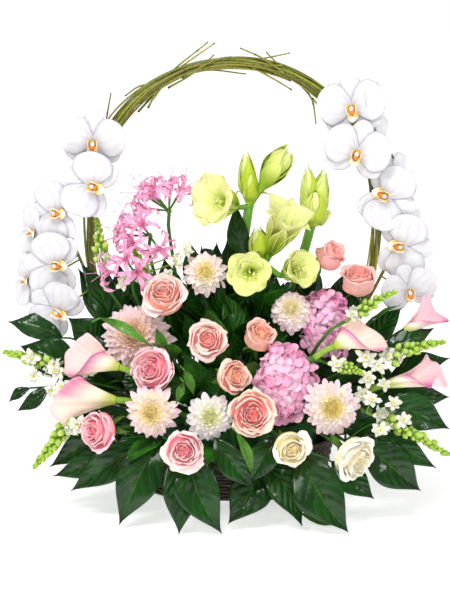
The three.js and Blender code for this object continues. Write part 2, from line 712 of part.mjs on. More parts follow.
function amaryllisBlooms() {
  for (const [name, across, down, y, turn, lift, length, mouth, openness] of AMARYLLIS_BLOOMS) {
    const axis = facing(turn, lift);
    const base = seen(across, down, y);
    addPlaced(name, trumpet(length, mouth, openness), frameAt(base, axis, 15), "amaryllis");
    blooms.push({ name, axis, base, across });
  }
}

// ---- Callas -------------------------------------------------------------------------------------

// A rolled spathe, hollow from its mouth down, whose rim is short at the seam and long at the pointed side.
function spathe(length, mouth, mirrored) {
  const n = CALLA_RIM.length;
  const rim = (i) => CALLA_RIM[mirrored ? (n - i) % n : i];
  const along = (i, share) => length * (0.12 * (1 - share) + rim(i)[0] * (0.4 + 0.6 * share));
  return loft([
    pole(0),
    ring(n, 6, length * 0.05),
    ring(n, 9.5 * mouth, length * 0.2),
    ring(n, (i) => mouth * (2 + 0.55 * rim(i)[1]), (i) => along(i, 0.2)),
    ring(n, (i) => mouth * rim(i)[1], (i) => along(i, 1)),
    ring(n, (i) => mouth * (0.55 * rim(i)[1] - 1), (i) => along(i, 0.2) + 2),
    ring(n, 4, length * 0.26),
    pole(length * 0.2),
  ]);
}

function callas() {
  for (const [name, across, down, y, turn, lift, length, mouth, roll, mirrored] of CALLAS) {
    const axis = facing(turn, lift);
    const base = seen(across, down, y);
    addPlaced(name, spathe(length, mouth, mirrored), frameAt(base, axis, roll), "calla");
    blooms.push({ name, axis, base, across });
  }
}

// ---- Snapdragons --------------------------------------------------------------------------------

function spikes() {
  SPIKES.forEach(([name, basePlace, tipPlace, buds, florets], index) => {
    const random = randomFrom(101 + index);
    const base = seen(...basePlace);
    const tip = seen(...tipPlace);
    const line = new THREE.CatmullRomCurve3([base, base.clone().lerp(tip, 0.5).add(vec(0, 0, 4)), tip]);
    const parts = [stalk([line.getPoint(0), line.getPoint(0.5), tip], 2.4, 1.2, 3, 2)];
    const along = tip.clone().sub(base).normalize();
    const count = buds + florets;
    for (let k = 0; k < count; k++) {
      const share = 0.1 + (0.88 * k) / count;
      const angle = k * 2.4 + random() * 0.5;
      const out = vec(Math.cos(angle), Math.sin(angle), 0.75).applyMatrix4(frameAt(vec(0, 0, 0), along));
      const frame = frameAt(line.getPoint(share), out);
      if (k < florets) {
        const star = ring(8, (i) => (i % 2 ? 6 : 12), (i) => (i % 2 ? 15 : 18));
        parts.push(loft([pole(0), star, pole(12)]).applyMatrix4(frame));
      } else {
        const size = 15 * (1.1 - 0.62 * share);
        parts.push(loft([pole(0), ring(3, size * 0.36, size * 0.6), pole(size * 1.1)]).applyMatrix4(frame));
      }
    }
    addMesh(name, geometryOf(largest(fuse(parts))), "spike");
    blooms.push({ name, axis: along, base, across: basePlace[0] });
  });
}

// ---- Stems --------------------------------------------------------------------------------------

// The frame of a leaf at a point: +X out along it, +Y level across it, +Z off its upper face.
function leafFrame(origin, turn, lift) {
  const out = facing(turn, lift);
  const across = vec(-out.y, out.x, 0).normalize();
  return new THREE.Matrix4().makeBasis(out, across, out.clone().cross(across)).setPosition(origin);
}

// A pointed oval leaf along +X, arched, with its midrib folded down.
function ovalLeaf(length, width) {
  const at = (x, y, z) => vec(x * length, y * width * 0.5, z * length);
  const points = [
    at(0, 0, 0), at(0.3, -0.42, 0.06), at(0.32, 0, 0.03), at(0.3, 0.42, 0.06),
    at(0.68, -0.38, 0.02), at(0.68, 0, -0.01), at(0.68, 0.38, 0.02), at(1, 0, -0.12),
  ];
  const triangles = [
    [0, 1, 2], [0, 2, 3], [1, 4, 5], [1, 5, 2], [2, 5, 6], [2, 6, 3], [4, 7, 5], [5, 7, 6],
  ];
  return blade(points, triangles, [0, 1, 4, 7, 6, 3], 1.2);
}

// Where a stem leaves its bunch's post: inside the top, on the side that it goes to.
function fanStart(root, end) {
  const out = end.clone().sub(root.top).setZ(0).normalize();
  return root.top.clone().addScaledVector(out, root.radius * 0.6).setZ(root.top.z - 2);
}

function bunches() {
  for (const { name, from, to } of BUNCHES) {
    const root = BUNCH_ROOTS[name];
    const parts = [post(root)];
    for (const bloom of blooms.filter((b) => b.across >= from && b.across < to)) {
      if (bloom.name.startsWith("amaryllis")) continue;
      const end = bloom.base.clone().addScaledVector(bloom.axis, -GAP);
      const near = end.clone().addScaledVector(bloom.axis, -28);
      const start = fanStart(root, near);
      const rise = start.clone().lerp(near, 0.45);
      const thick = bloom.name.startsWith("calla") ? 4 : 2.4;
      parts.push(stalk([start, rise, near, end], 2.6, thick, 3, 2));
    }
    for (const [x, y, z, turn, lift, length] of MIDDLE_LEAVES[name]) {
      const end = vec(x, y, z);
      const start = fanStart(root, end);
      const rise = start.clone().lerp(end, 0.5).add(vec(0, 0, 6));
      const sunk = end.clone().addScaledVector(facing(turn, lift), 6);
      parts.push(stalk([start, rise, sunk], 2, 2, 3, 2));
      parts.push(ovalLeaf(length, length * 1.05).applyMatrix4(leafFrame(end, turn, lift)));
    }
    addMesh(name, geometryOf(largest(fuse(parts))), "stem", 0.6);
  }
}

const BUNCH_ROOTS = Object.fromEntries(BUNCHES.map(({ name, x, y }) => [name, rootAt(x, y, 9)]));

// ---- Lobed leaves -------------------------------------------------------------------------------

// A palm of pointed lobes that meet at the origin, the middle one along +X, drooping as they go out.
function lobedLeaf(length) {
  const { lobes, spread, lobeHalfAngle, notch, droop, thickness } = LEAF;
  const points = [vec(0, 0, 0)];
  const triangles = [];
  const outline = [0];
  const place = (reach, angle, lift) => {
    const drop = droop * length * (reach / length) ** 2;
    return points.push(vec(reach * Math.cos(angle), reach * Math.sin(angle), lift - drop)) - 1;
  };
  for (let k = 0; k < lobes; k++) {
    const step = k - (lobes - 1) / 2;
    const angle = step * spread;
    const reach = length * (1 - 0.06 * step * step);
    if (k === 0) outline.push(place(reach * notch, angle - spread / 2, 0));
    const before = outline.at(-1);
    const right = place(reach * 0.62, angle - lobeHalfAngle, -2);
    const tip = place(reach, angle, -4);
    const left = place(reach * 0.62, angle + lobeHalfAngle, -2);
    const after = place(length * notch, angle + spread / 2, 0);
    const rib = place(reach * 0.58, angle, 4);
    triangles.push([0, before, rib], [before, right, rib], [right, tip, rib]);
    triangles.push([tip, left, rib], [left, after, rib], [0, rib, after]);
    outline.push(right, tip, left, after);
  }
  return blade(points, triangles, outline, thickness);
}

const FOLIAGE_ROOTS = Object.fromEntries(
  FOLIAGE.map(([name, x, y]) => [name, rootAt(x, y, 6, undefined, POST_RISE * 0.7)]),
);

function foliage() {
  for (const [name, , , leaves] of FOLIAGE) {
    const root = FOLIAGE_ROOTS[name];
    const parts = [post(root)];
    for (const [x, y, z, turn, lift, length] of leaves) {
      const palm = vec(x, y, z);
      const inside = root.top.clone().addScaledVector(root.axis, -2);
      const bend = inside.clone().lerp(palm, 0.5).add(vec(0, 0, 7));
      parts.push(stalk([inside, bend, palm], 3, 2.2, 3, 2));
      parts.push(lobedLeaf(length).applyMatrix4(leafFrame(palm, turn, lift)));
    }
    addMesh(name, geometryOf(largest(fuse(parts))), "leaf", 0.35);
  }
}

// ---- Assembly -----------------------------------------------------------------------------------

basket();
liner();
twigArch();
roses();
dahlias();
hydrangeas();
orchids();
nerines();
amaryllisBlooms();
amaryllisStems();
callas();
spikes();
bunches();
foliage();

foam([
  archRoot(-1),
  archRoot(1),
  ...Object.values(ORCHID_ROOTS),
  ...Object.values(AMARYLLIS_ROOTS),
  ...Object.values(BUNCH_ROOTS),
  ...Object.values(FOLIAGE_ROOTS),
]);

export default arrangement;
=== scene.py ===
"""A flower basket arrangement: an oval wicker basket of wet foam under an arch of bound twigs, two orchid sprays,
and roses, dahlias, hydrangeas, nerines, amaryllis, callas and snapdragons over a skirt of dark lobed leaves.

Everything is modelled in millimetres, +Z up and -Y to the front, and becomes metres when its mesh is made.
"""
import math

import bmesh
import bpy
import numpy as np
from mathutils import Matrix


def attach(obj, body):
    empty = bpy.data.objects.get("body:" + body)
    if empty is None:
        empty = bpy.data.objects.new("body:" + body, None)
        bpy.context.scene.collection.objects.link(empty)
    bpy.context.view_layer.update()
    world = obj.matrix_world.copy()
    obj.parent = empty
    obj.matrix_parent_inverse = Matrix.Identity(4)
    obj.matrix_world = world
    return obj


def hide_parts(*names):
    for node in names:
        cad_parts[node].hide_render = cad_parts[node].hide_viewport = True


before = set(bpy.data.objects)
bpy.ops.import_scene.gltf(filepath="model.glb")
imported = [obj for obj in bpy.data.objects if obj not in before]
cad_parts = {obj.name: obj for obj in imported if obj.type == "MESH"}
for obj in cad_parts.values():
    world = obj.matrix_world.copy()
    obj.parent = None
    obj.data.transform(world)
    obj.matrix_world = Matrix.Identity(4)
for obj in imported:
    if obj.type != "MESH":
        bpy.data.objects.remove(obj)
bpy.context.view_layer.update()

MM = 0.001
GOLDEN = math.pi * (3 - math.sqrt(5))
SHEET = 0.35  # how thick a petal is, mm
NOWHERE = np.zeros(3)

# ---- The photograph's camera ---------------------------------------------------------------------
# A place read off the photograph is a pixel, across and down in its frame, and a depth y in mm.

PHOTO = 450, 600
CAMERA = {"distance": 2200, "elevation": math.radians(12), "aim_x": -13, "aim_z": 306, "mm_per_pixel": 1.6}
SENSOR = 24


def seen(across, down, y):
    """The point at depth y on the line of sight through a pixel."""
    pixels = CAMERA["distance"] / CAMERA["mm_per_pixel"]
    ce, se = math.cos(CAMERA["elevation"]), math.sin(CAMERA["elevation"])
    right, up = (across - PHOTO[0] / 2) / pixels, (PHOTO[1] / 2 - down) / pixels
    reach = (y + CAMERA["distance"] * ce) / (ce + up * se)
    z = CAMERA["aim_z"] + CAMERA["distance"] * se + reach * (up * ce - se)
    return np.array([CAMERA["aim_x"] + reach * right, y, z])


def camera():
    data = bpy.data.cameras.new("camera")
    data.sensor_fit = "VERTICAL"
    data.sensor_height = SENSOR
    data.lens = SENSOR * CAMERA["distance"] / (PHOTO[1] * CAMERA["mm_per_pixel"])
    data.clip_end = 50
    eye = bpy.data.objects.new("camera", data)
    e = CAMERA["elevation"]
    aim = np.array([CAMERA["aim_x"], 0, CAMERA["aim_z"]])
    eye.location = (aim + CAMERA["distance"] * np.array([0, -math.cos(e), math.sin(e)])) * MM
    eye.rotation_euler = (math.pi / 2 - e, 0, 0)
    bpy.context.scene.collection.objects.link(eye)
    bpy.context.scene.camera = eye


# ---- Numbers and frames ----------------------------------------------------------------------------


def mix(a, b, t):
    return a + (b - a) * t


def tinted(a, b, t):
    """Two colours mixed by a share for each point."""
    return mix(a, b, t[..., None])


def smooth(x, low, high):
    t = np.clip((x - low) / (high - low), 0, 1)
    return t * t * (3 - 2 * t)


def colour(code):
    """A colour as seen on a screen, such as f4c3bd, as linear red, green and blue."""
    s = np.array([int(code[i:i + 2], 16) / 255 for i in (0, 2, 4)])
    return np.where(s <= 0.04045, s / 12.92, ((s + 0.055) / 1.055) ** 2.4)


def unit(v):
    return v / max(np.linalg.norm(v), 1e-9)


def facing(turn, lift):
    """The way that a flower faces: turn to the viewer's right of the front, lift above level, in degrees."""
    turn, lift = math.radians(turn), math.radians(lift)
    return np.array([math.sin(turn) * math.cos(lift), -math.cos(turn) * math.cos(lift), math.sin(lift)])


def rotation(axis, angle):
    c, s = math.cos(angle), math.sin(angle)
    i, j = [(1, 2), (2, 0), (0, 1)]["xyz".index(axis)]
    r = np.eye(3)
    r[i, i] = r[j, j] = c
    r[i, j], r[j, i] = -s, s
    return r


def frame_at(origin, axis, roll=0):
    """An origin and a turn whose +Z lies along axis and whose +Y is as near upright as it can be."""
    z = unit(axis)
    upright = np.array([0, 1, 0]) if abs(z[2]) > 0.985 else np.array([0, 0, 1])
    x = unit(np.cross(upright, z))
    return origin, np.stack([x, np.cross(z, x), z], 1) @ rotation("z", math.radians(roll))


def place(points, *frames):
    """Points moved out of one frame after another, each an origin and a turn."""
    for origin, turn in zip(frames[::2], frames[1::2]):
        points = points @ turn.T + origin
    return points


def tangents(line):
    """The unit tangent at each point of a line."""
    tangent = np.gradient(line, axis=0)
    return tangent / np.linalg.norm(tangent, axis=1)[:, None]


def curve(points, steps):
    """Points at even steps along a smooth line through a few points."""
    p = np.array(points, float)
    p = np.vstack([2 * p[0] - p[1], p, 2 * p[-1] - p[-2]])
    fine = []
    for a, b, c, d in zip(p[:-3], p[1:-2], p[2:-1], p[3:]):
        t = np.linspace(0, 1, 13)[:-1, None]
        fine.append(0.5 * (2 * b + (c - a) * t + (2 * a - 5 * b + 4 * c - d) * t**2 + (3 * b - a - 3 * c + d) * t**3))
    fine = np.vstack(fine + [p[-2][None]])
    run = np.concatenate([[0], np.cumsum(np.linalg.norm(np.diff(fine, axis=0), axis=1))])
    at = np.linspace(0, run[-1], steps + 1)
    return np.stack([np.interp(at, run, fine[:, i]) for i in range(3)], 1)


# ---- Meshes ----------------------------------------------------------------------------------------


class Surface:
    """The mesh of one piece, gathered from thin sheets and round tubes, with a tint for each point."""

    def __init__(self, look):
        self.points, self.tints, self.places, self.faces, self.kinds = [], [], [], [], []
        self.count = 0
        self.looks = [look]
        self.kind = 0

    def use(self, look):
        """What comes next has this material."""
        if look not in self.looks:
            self.looks.append(look)
        self.kind = self.looks.index(look)

    def add(self, points, tint):
        rows, columns = points.shape[:2]
        index = self.count + np.arange(rows * columns).reshape(rows, columns)
        v, u = np.meshgrid(np.linspace(0, 1, rows), np.linspace(0, 1, columns), indexing="ij")
        self.points.append(points.reshape(-1, 3))
        self.tints.append(np.broadcast_to(tint, points.shape).reshape(-1, 3))
        self.places.append(np.stack([u, v], -1).reshape(-1, 2))
        self.count += rows * columns
        return index

    def quads(self, *corners):
        faces = np.stack(corners, -1).reshape(-1, 4)
        self.faces.append(faces)
        self.kinds.append(np.full(len(faces), self.kind))

    def tube(self, points, tint):
        """Rings of points about a line, closed round it. The first and last ring are closed to a point."""
        first, last = points[:1].mean(1, keepdims=True), points[-1:].mean(1, keepdims=True)
        ends = np.broadcast_to(first, points[:1].shape), np.broadcast_to(last, points[:1].shape)
        tint = np.broadcast_to(tint, points.shape)
        index = self.add(np.concatenate([ends[0], points, ends[1]]), np.concatenate([tint[:1], tint, tint[-1:]]))
        beside = np.roll(index, -1, axis=1)
        self.quads(index[:-1], beside[:-1], beside[1:], index[1:])

    def sheet(self, points, tint, thickness=SHEET, under=None):
        """A thin closed sheet: rows along it and columns across it, with its upper face as given."""
        along, across = np.gradient(points, axis=0), np.gradient(points, axis=1)
        normal = np.cross(along, across)
        size = np.linalg.norm(normal, axis=2, keepdims=True)
        normal = np.where(size > 1e-6, normal / np.maximum(size, 1e-6), 0)
        top = self.add(points, tint)
        low = self.add(points - normal * thickness, tint if under is None else under)
        self.quads(top[:-1, :-1], top[1:, :-1], top[1:, 1:], top[:-1, 1:])
        self.quads(low[:-1, :-1], low[:-1, 1:], low[1:, 1:], low[1:, :-1])

        def rim(g):
            return np.concatenate([g[0], g[1:, -1], g[-1, -2::-1], g[-2:0:-1, 0]])

        a, b = rim(top), rim(low)
        self.quads(a, np.roll(a, -1), np.roll(b, -1), b)

    def build(self, name, slot, *nodes):
        """Makes the piece. It stands for the CAD nodes that are named."""
        points, faces = np.concatenate(self.points) * MM, np.concatenate(self.faces)
        mesh = bpy.data.meshes.new(name)
        mesh.vertices.add(len(points))
        mesh.vertices.foreach_set("co", points.ravel())
        mesh.loops.add(faces.size)
        mesh.loops.foreach_set("vertex_index", faces.ravel())
        mesh.polygons.add(len(faces))
        mesh.polygons.foreach_set("loop_start", np.arange(0, faces.size, 4))
        mesh.polygons.foreach_set("material_index", np.concatenate(self.kinds))
        mesh.polygons.foreach_set("use_smooth", np.ones(len(faces), bool))
        mesh.update(calc_edges=True)
        tint = np.concatenate(self.tints)
        rgba = np.concatenate([np.clip(tint, 0, 1), np.ones((len(tint), 1))], 1)
        mesh.color_attributes.new("tint", "FLOAT_COLOR", "POINT").data.foreach_set("color", rgba.ravel())
        mesh.uv_layers.new(name="petal").data.foreach_set("uv", np.concatenate(self.places)[faces.ravel()].ravel())
        tidy = bmesh.new()
        tidy.from_mesh(mesh)
        bmesh.ops.remove_doubles(tidy, verts=tidy.verts, dist=1e-7)
        tidy.to_mesh(mesh)
        tidy.free()
        for look in self.looks:
            mesh.materials.append(LOOKS[look])
        piece = bpy.data.objects.new(name, mesh)
        bpy.context.scene.collection.objects.link(piece)
        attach(piece, "root")
        if nodes:
            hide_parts(*nodes)


def spine(v, length, bend):
    """The middle line of a petal in its own plane, and the way it heads, for a bend in radians that is shared
    between an even part and a part that grows to the tip."""
    heading = bend[0] * v + bend[1] * v**2
    middle = (heading[1:] + heading[:-1]) / 2
    step = np.diff(v) * length
    x = np.concatenate([[0], np.cumsum(np.cos(middle) * step)])
    z = np.concatenate([[0], np.cumsum(np.sin(middle) * step)])
    return x, z, heading


def petal(length, width, outline, bend, fold=0.0, crease=0.0, wave=0.0, waves=3, phase=0.0, sway=0.0, *, rows,
          columns):
    """A petal from the origin along +X, its width along Y and its inner face up. fold cups it and crease folds it
    along its middle, as shares of its half width. wave ruffles its edge. Returns points, u and v."""
    v = np.sin(np.linspace(0, 1, rows + 1) * math.pi / 2) ** 1.15
    u = np.linspace(-1, 1, columns + 1)
    x, z, heading = spine(v, length, bend)
    vv, uu = np.meshgrid(v, u, indexing="ij")
    half = width / 2 * outline(vv)
    ruffle = wave * width / 2 * np.sin(2 * math.pi * waves * vv + phase + 0.8 * uu) * np.abs(uu) ** 1.5
    lift = half * (fold * uu**2 + crease * np.abs(uu)) + ruffle * np.minimum(1, 3 * vv)
    points = np.stack([
        x[:, None] - np.sin(heading)[:, None] * lift,
        half * uu + sway * length * vv**2,
        z[:, None] + np.cos(heading)[:, None] * lift,
    ], -1)
    return points, uu, vv


def egg(widest, claw):
    """An outline that grows from a claw to its widest place and ends round."""
    def outline(v):
        grow = claw + (1 - claw) * np.sin(np.clip(v / widest, 0, 1) * math.pi / 2)
        close = np.sqrt(np.clip(1 - (np.clip(v - widest, 0, 1) / (1 - widest)) ** 2, 0.0004, 1))
        return grow * close
    return outline


def lance(widest, claw, sharp=1.0):
    """An outline that ends in a point."""
    def outline(v):
        grow = claw + (1 - claw) * np.sin(np.clip(v / widest, 0, 1) * math.pi / 2)
        close = np.cos(np.clip((v - widest) / (1 - widest), 0, 1) * math.pi / 2) ** sharp
        return grow * np.maximum(close, 0.01)
    return outline


def out_at(azimuth, lift, roll=0):
    """The turn of a petal that leaves a flower's axis (+Z) at an azimuth and a lift above the flower's plane."""
    return rotation("z", azimuth) @ rotation("y", -lift) @ rotation("x", roll)


def turned(line, radius, sides, ripple=0.0, twist=0.0):
    """Rings of points round a line, of a radius for each step. ripple gives them three lobes."""
    tangent = tangents(line)
    side = unit(np.cross(tangent[0], [0.31, 0.87, 0.39]))
    rings = []
    for k, (centre, along) in enumerate(zip(line, tangent)):
        side = unit(side - along * (side @ along))
        other = np.cross(along, side)
        angle = np.linspace(0, 2 * math.pi, sides, endpoint=False) + twist * k / len(line)
        r = radius[k] * (1 + ripple * np.cos(3 * angle))
        rings.append(centre + np.outer(r * np.cos(angle), side) + np.outer(r * np.sin(angle), other))
    return np.stack(rings)


def stem(surface, points, start, end, tint, sides, steps):
    """A smooth tube through a few points, whose radius goes from start to end."""
    surface.tube(turned(curve(points, steps), np.linspace(start, end, steps + 1), sides), tint)


def bead(surface, origin, turn, length, radius, tint, sides=8, rows=7, widest=0.45, ripple=0.0, tip=None):
    """A round or pointed bud along +Z of a frame."""
    v = np.linspace(0, 1, rows + 1)
    grow, close = np.clip(v / widest, 0, 1), np.clip((v - widest) / (1 - widest), 0, 1)
    r = radius * np.where(v < widest, np.sin(grow * math.pi / 2) ** 0.7, np.cos(close * math.pi / 2) ** 0.85) + 0.02
    rings = turned(np.stack([v * 0, v * 0, v * length], 1), r, sides, ripple, 0.6)
    shade = tint if tip is None else mix(tint, tip, v[:, None, None] ** 2)
    surface.tube(place(rings, origin, turn), np.broadcast_to(shade, rings.shape))


# ---- Materials -------------------------------------------------------------------------------------

LOOKS = {}


class Nodes:
    """A short way to write a material's nodes."""

    def __init__(self, name):
        self.material = bpy.data.materials.new(name)
        self.material.use_nodes = True
        self.tree = self.material.node_tree
        self.shader = self.tree.nodes["Principled BSDF"]

    def node(self, kind, inputs=(), **settings):
        n = self.tree.nodes.new("ShaderNode" + kind)
        for key, value in settings.items():
            setattr(n, key, value)
        for key, value in dict(inputs).items():
            self.link(value, n.inputs[key])
        return n

    def link(self, value, socket):
        if isinstance(value, bpy.types.NodeSocket):
            self.tree.links.new(value, socket)
        else:
            socket.default_value = value

    def math(self, operation, a, b=0.5):
        return self.node("Math", {0: a, 1: b}, operation=operation).outputs[0]

    def noise(self, vector, scale, detail):
        return self.node("TexNoise", {"Vector": vector, "Scale": scale, "Detail": detail}).outputs["Fac"]

    def remap(self, value, a, b, c, d):
        n = self.node("MapRange", {"Value": value, "From Min": a, "From Max": b, "To Min": c, "To Max": d})
        return n.outputs["Result"]

    def blend(self, factor, a, b):
        return self.node("Mix", {0: factor, 6: a, 7: b}, data_type="RGBA").outputs[2]

    def vector(self, operation, inputs):
        return self.node("VectorMath", inputs, operation=operation).outputs["Vector"]

    def tint(self, light):
        """The colour of each point, lightened or darkened."""
        return self.vector("SCALE", {0: self.node("Attribute", attribute_name="tint").outputs["Color"], 3: light})

    def uv(self, scale=(1, 1, 1)):
        return self.vector("MULTIPLY", {0: self.node("UVMap", uv_map="petal").outputs["UV"], 1: scale})

    def solid(self, scale=(1, 1, 1)):
        return self.vector("MULTIPLY", {0: self.node("TexCoord").outputs["Object"], 1: scale})

    def finish(self, base, height, strength, distance, **constants):
        """Gives the shader its colour, a bump and what stays the same all over."""
        self.link(base, self.shader.inputs["Base Color"])
        bump = self.node("Bump", {"Height": height, "Strength": strength, "Distance": distance})
        self.link(bump.outputs["Normal"], self.shader.inputs["Normal"])
        for key, value in constants.items():
            self.shader.inputs[key.replace("_", " ")].default_value = value
        return self.material


def petal_look(name, streaks, streak, mottle, bump, roughness, subsurface=0.0, sheen=0.0):
    """Petal skin: the tint, fine streaks that run from base to tip, and a soft mottle."""
    n = Nodes(name)
    lines = n.noise(n.uv((streaks, 2.2, 1)), 1.0, 3)
    clouds = n.noise(n.solid(), 90.0, 2)
    light = n.math("MULTIPLY", n.remap(lines, 0.3, 0.7, 1 - streak, 1 + streak),
                   n.remap(clouds, 0.3, 0.7, 1 - mottle, 1 + mottle))
    LOOKS[name] = n.finish(n.tint(light), lines, bump, 0.0006, Roughness=roughness, Subsurface_Weight=subsurface,
                           Subsurface_Scale=0.004, Subsurface_Radius=(1.0, 0.6, 0.45), Sheen_Weight=sheen,
                           Specular_IOR_Level=0.35)


def leaf_look(name, pairs, slant, pale, quilt, roughness, coat):
    """Leaf skin: a pale midrib, slanting side veins and the skin that swells between them."""
    n = Nodes(name)
    place = n.node("SeparateXYZ", {0: n.uv()})
    side = n.math("MULTIPLY", n.math("ABSOLUTE", n.math("SUBTRACT", place.outputs[0], 0.5)), 2.0)
    drift = n.math("MULTIPLY", n.noise(n.solid(), 60.0, 1), 0.4)
    phase = n.math("ADD", n.math("SUBTRACT", n.math("MULTIPLY", place.outputs[1], pairs),
                                 n.math("MULTIPLY", side, slant)), drift)
    saw = n.math("ABSOLUTE", n.math("SUBTRACT", n.math("FRACT", phase), 0.5))
    swell = n.remap(saw, 0.0, 0.5, 1.0, 0.0)
    vein = n.remap(saw, 0.36, 0.5, 0.0, 0.4)
    rib = n.remap(side, 0.01, 0.06, 0.8, 0.0)
    veins = n.math("MAXIMUM", n.math("MULTIPLY", vein, n.remap(side, 0.5, 1.0, 1.0, 0.0)), rib)
    clouds = n.remap(n.noise(n.solid(), 35.0, 3), 0.3, 0.7, 0.6, 1.4)
    base = n.tint(clouds)
    base = n.blend(n.math("MULTIPLY", veins, pale), base, (0.10, 0.24, 0.03, 1))
    ripple = n.math("MULTIPLY", n.noise(n.solid(), 170.0, 2), 0.40)
    relief = n.math("SUBTRACT", n.math("MULTIPLY", swell, quilt), n.math("MULTIPLY", veins, 0.3))
    height = n.math("ADD", relief, ripple)
    LOOKS[name] = n.finish(base, height, 1.0, 0.0026, Roughness=roughness, Coat_Weight=coat, Coat_Roughness=0.15,
                           Specular_IOR_Level=0.18)


def skin_look(name, grain, scale, contrast, bump, roughness, **constants):
    """Stems, twigs, wicker and foam: the tint with a grain that is drawn out along or across the piece."""
    n = Nodes(name)
    fine = n.noise(n.solid(grain), scale, 4)
    light = n.remap(fine, 0.3, 0.7, 1 - contrast, 1 + contrast)
    LOOKS[name] = n.finish(n.tint(light), fine, bump, 0.0008, Roughness=roughness, **constants)


def plain_look(name, shade, scale, contrast, bump, roughness):
    """A moulded or cut block of one colour, for the CAD solids that stay."""
    n = Nodes(name)
    fine = n.noise(n.solid(), scale, 5)
    base = n.blend(n.remap(fine, 0.3, 0.7, 0, 1), (*shade * (1 - contrast), 1), (*shade * (1 + contrast), 1))
    LOOKS[name] = n.finish(base, fine, bump, 0.001, Roughness=roughness)


def materials():
    petal_look("rose", 14, 0.05, 0.05, 0.15, 0.55, sheen=0.15)
    petal_look("dahlia", 9, 0.10, 0.04, 0.35, 0.5)
    petal_look("hydrangea", 10, 0.10, 0.10, 0.25, 0.6)
    petal_look("orchid", 16, 0.025, 0.01, 0.15, 0.42)
    petal_look("lip", 18, 0.22, 0.10, 0.2, 0.4)
    petal_look("nerine", 12, 0.10, 0.05, 0.3, 0.4)
    petal_look("amaryllis", 22, 0.09, 0.04, 0.3, 0.45, 0.1)
    petal_look("calla", 26, 0.05, 0.02, 0.12, 0.42, 0.1)
    petal_look("floret", 10, 0.06, 0.05, 0.2, 0.5)
    leaf_look("leaf", 9.0, 2.2, 0.35, 0.8, 0.38, 0.6)
    leaf_look("small_leaf", 8.0, 2.4, 0.4, 0.5, 0.38, 0.3)
    skin_look("stem", (1, 1, 0.15), 300.0, 0.16, 0.2, 0.45)
    skin_look("bud", (1, 1, 1), 160.0, 0.14, 0.15, 0.42)
    skin_look("twig", (1, 1, 1), 210.0, 0.22, 0.35, 0.42, Coat_Weight=0.2, Coat_Roughness=0.3)
    skin_look("wicker", (1, 1, 5), 90.0, 0.45, 0.5, 0.6)
    plain_look("foam", colour("2c5a30"), 700.0, 0.35, 0.8, 0.9)
    plain_look("liner", colour("1c1e1c"), 120.0, 0.2, 0.15, 0.45)
    for node, look in (("floral_foam", "foam"), ("basket_liner", "liner")):
        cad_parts[node].data.materials.clear()
        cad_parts[node].data.materials.append(LOOKS[look])


# ---- Shared places ---------------------------------------------------------------------------------

FOAM_TOP = 112
STEM_FOOT = FOAM_TOP - 40  # how far down into the foam the stems reach
BUNCHES = {"stems_left": (-62, -12), "stems_middle": (-4, -22), "stems_right": (62, -12)}
carried = []  # each bloom that a thin stem carries: which bunch, where its base is, its axis, how thick


def bunch_of(across):
    """The bunch that holds the stem of a bloom this far across the photograph."""
    return "stems_left" if across < 182 else "stems_middle" if across < 295 else "stems_right"


GREEN = colour("4f7d2a")
LIME = colour("9cc23c")

# ---- Roses -----------------------------------------------------------------------------------------

ROSES = [
    # name, across, down, y, turn, lift, radius, height share, closed, colours: heart, inside, outside, rim, petals
    ("rose_upper_left", 164, 297, -78, -6, 42, 37, 1.0, 0.0, "ffa490", "ffccbc", "ffdcd8", "fff0e6", 28),
    ("rose_middle", 208, 341, -120, 0, 26, 31, 1.05, 0.1, "fe8c8c", "ffc4bc", "ffd8d0", "fff0e2", 25),
    ("rose_left", 154, 371, -152, -24, 22, 36, 1.0, 0.0, "fc7c94", "ffb8c2", "ffd4da", "fff0ea", 28),
    ("rose_low_left", 101, 430, -190, -46, 6, 32, 1.15, 0.1, "fa7c88", "ffb4bc", "ffc8d8", "ffeae4", 24),
    ("rose_front_left", 184, 449, -226, 0, 4, 32, 1.0, 0.1, "f87c90", "ffb8c0", "ffe4e2", "fff6e6", 26),
    ("rose_bud_middle", 259, 338, -108, 20, 52, 27, 1.35, 0.8, "ffb48c", "ffc8a8", "ffc4c0", "ffe4d0", 18),
    ("rose_peach", 232, 377, -168, 30, 20, 28, 1.15, 0.45, "feae8c", "ffc8b0", "ffd6c8", "ffead8", 24),
    ("rose_front", 252, 414, -206, 4, 18, 35, 1.0, 0.0, "f87c80", "ffb0ac", "ffd8c6", "fff0dc", 25),
    ("rose_high_right", 328, 257, -26, 58, 40, 27, 1.35, 0.85, "ffa89e", "ffbab0", "ffb8b8", "ffd6cc", 16),
    ("rose_right", 358, 283, -50, -10, 66, 30, 1.35, 0.85, "ffb0a4", "ffc2b6", "ffc2bc", "ffdad0", 16),
    ("rose_white_front", 290, 448, -222, 14, 0, 29, 1.15, 0.3, "fae498", "fff4d0", "fffae8", "fffdf6", 22),
    ("rose_white_right", 352, 456, -206, 40, -16, 36, 1.1, 0.3, "faecb4", "fff6dc", "fffbee", "fffefa", 25),
]


def core(surface, origin, turn, radius, top, low, tint):
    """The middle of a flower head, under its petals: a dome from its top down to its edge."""
    v, angle = np.meshgrid(np.linspace(0.02, 1, 9), np.linspace(0, 2 * math.pi, 25), indexing="ij")
    points = np.stack([radius * v * np.cos(angle), radius * v * np.sin(angle), mix(top, low, v**2)], -1)
    surface.sheet(place(points[:, ::-1], origin, turn), tint, 0.6)


BOWL = 0.80  # the share of a rose petal that cups, below the rim that rolls back


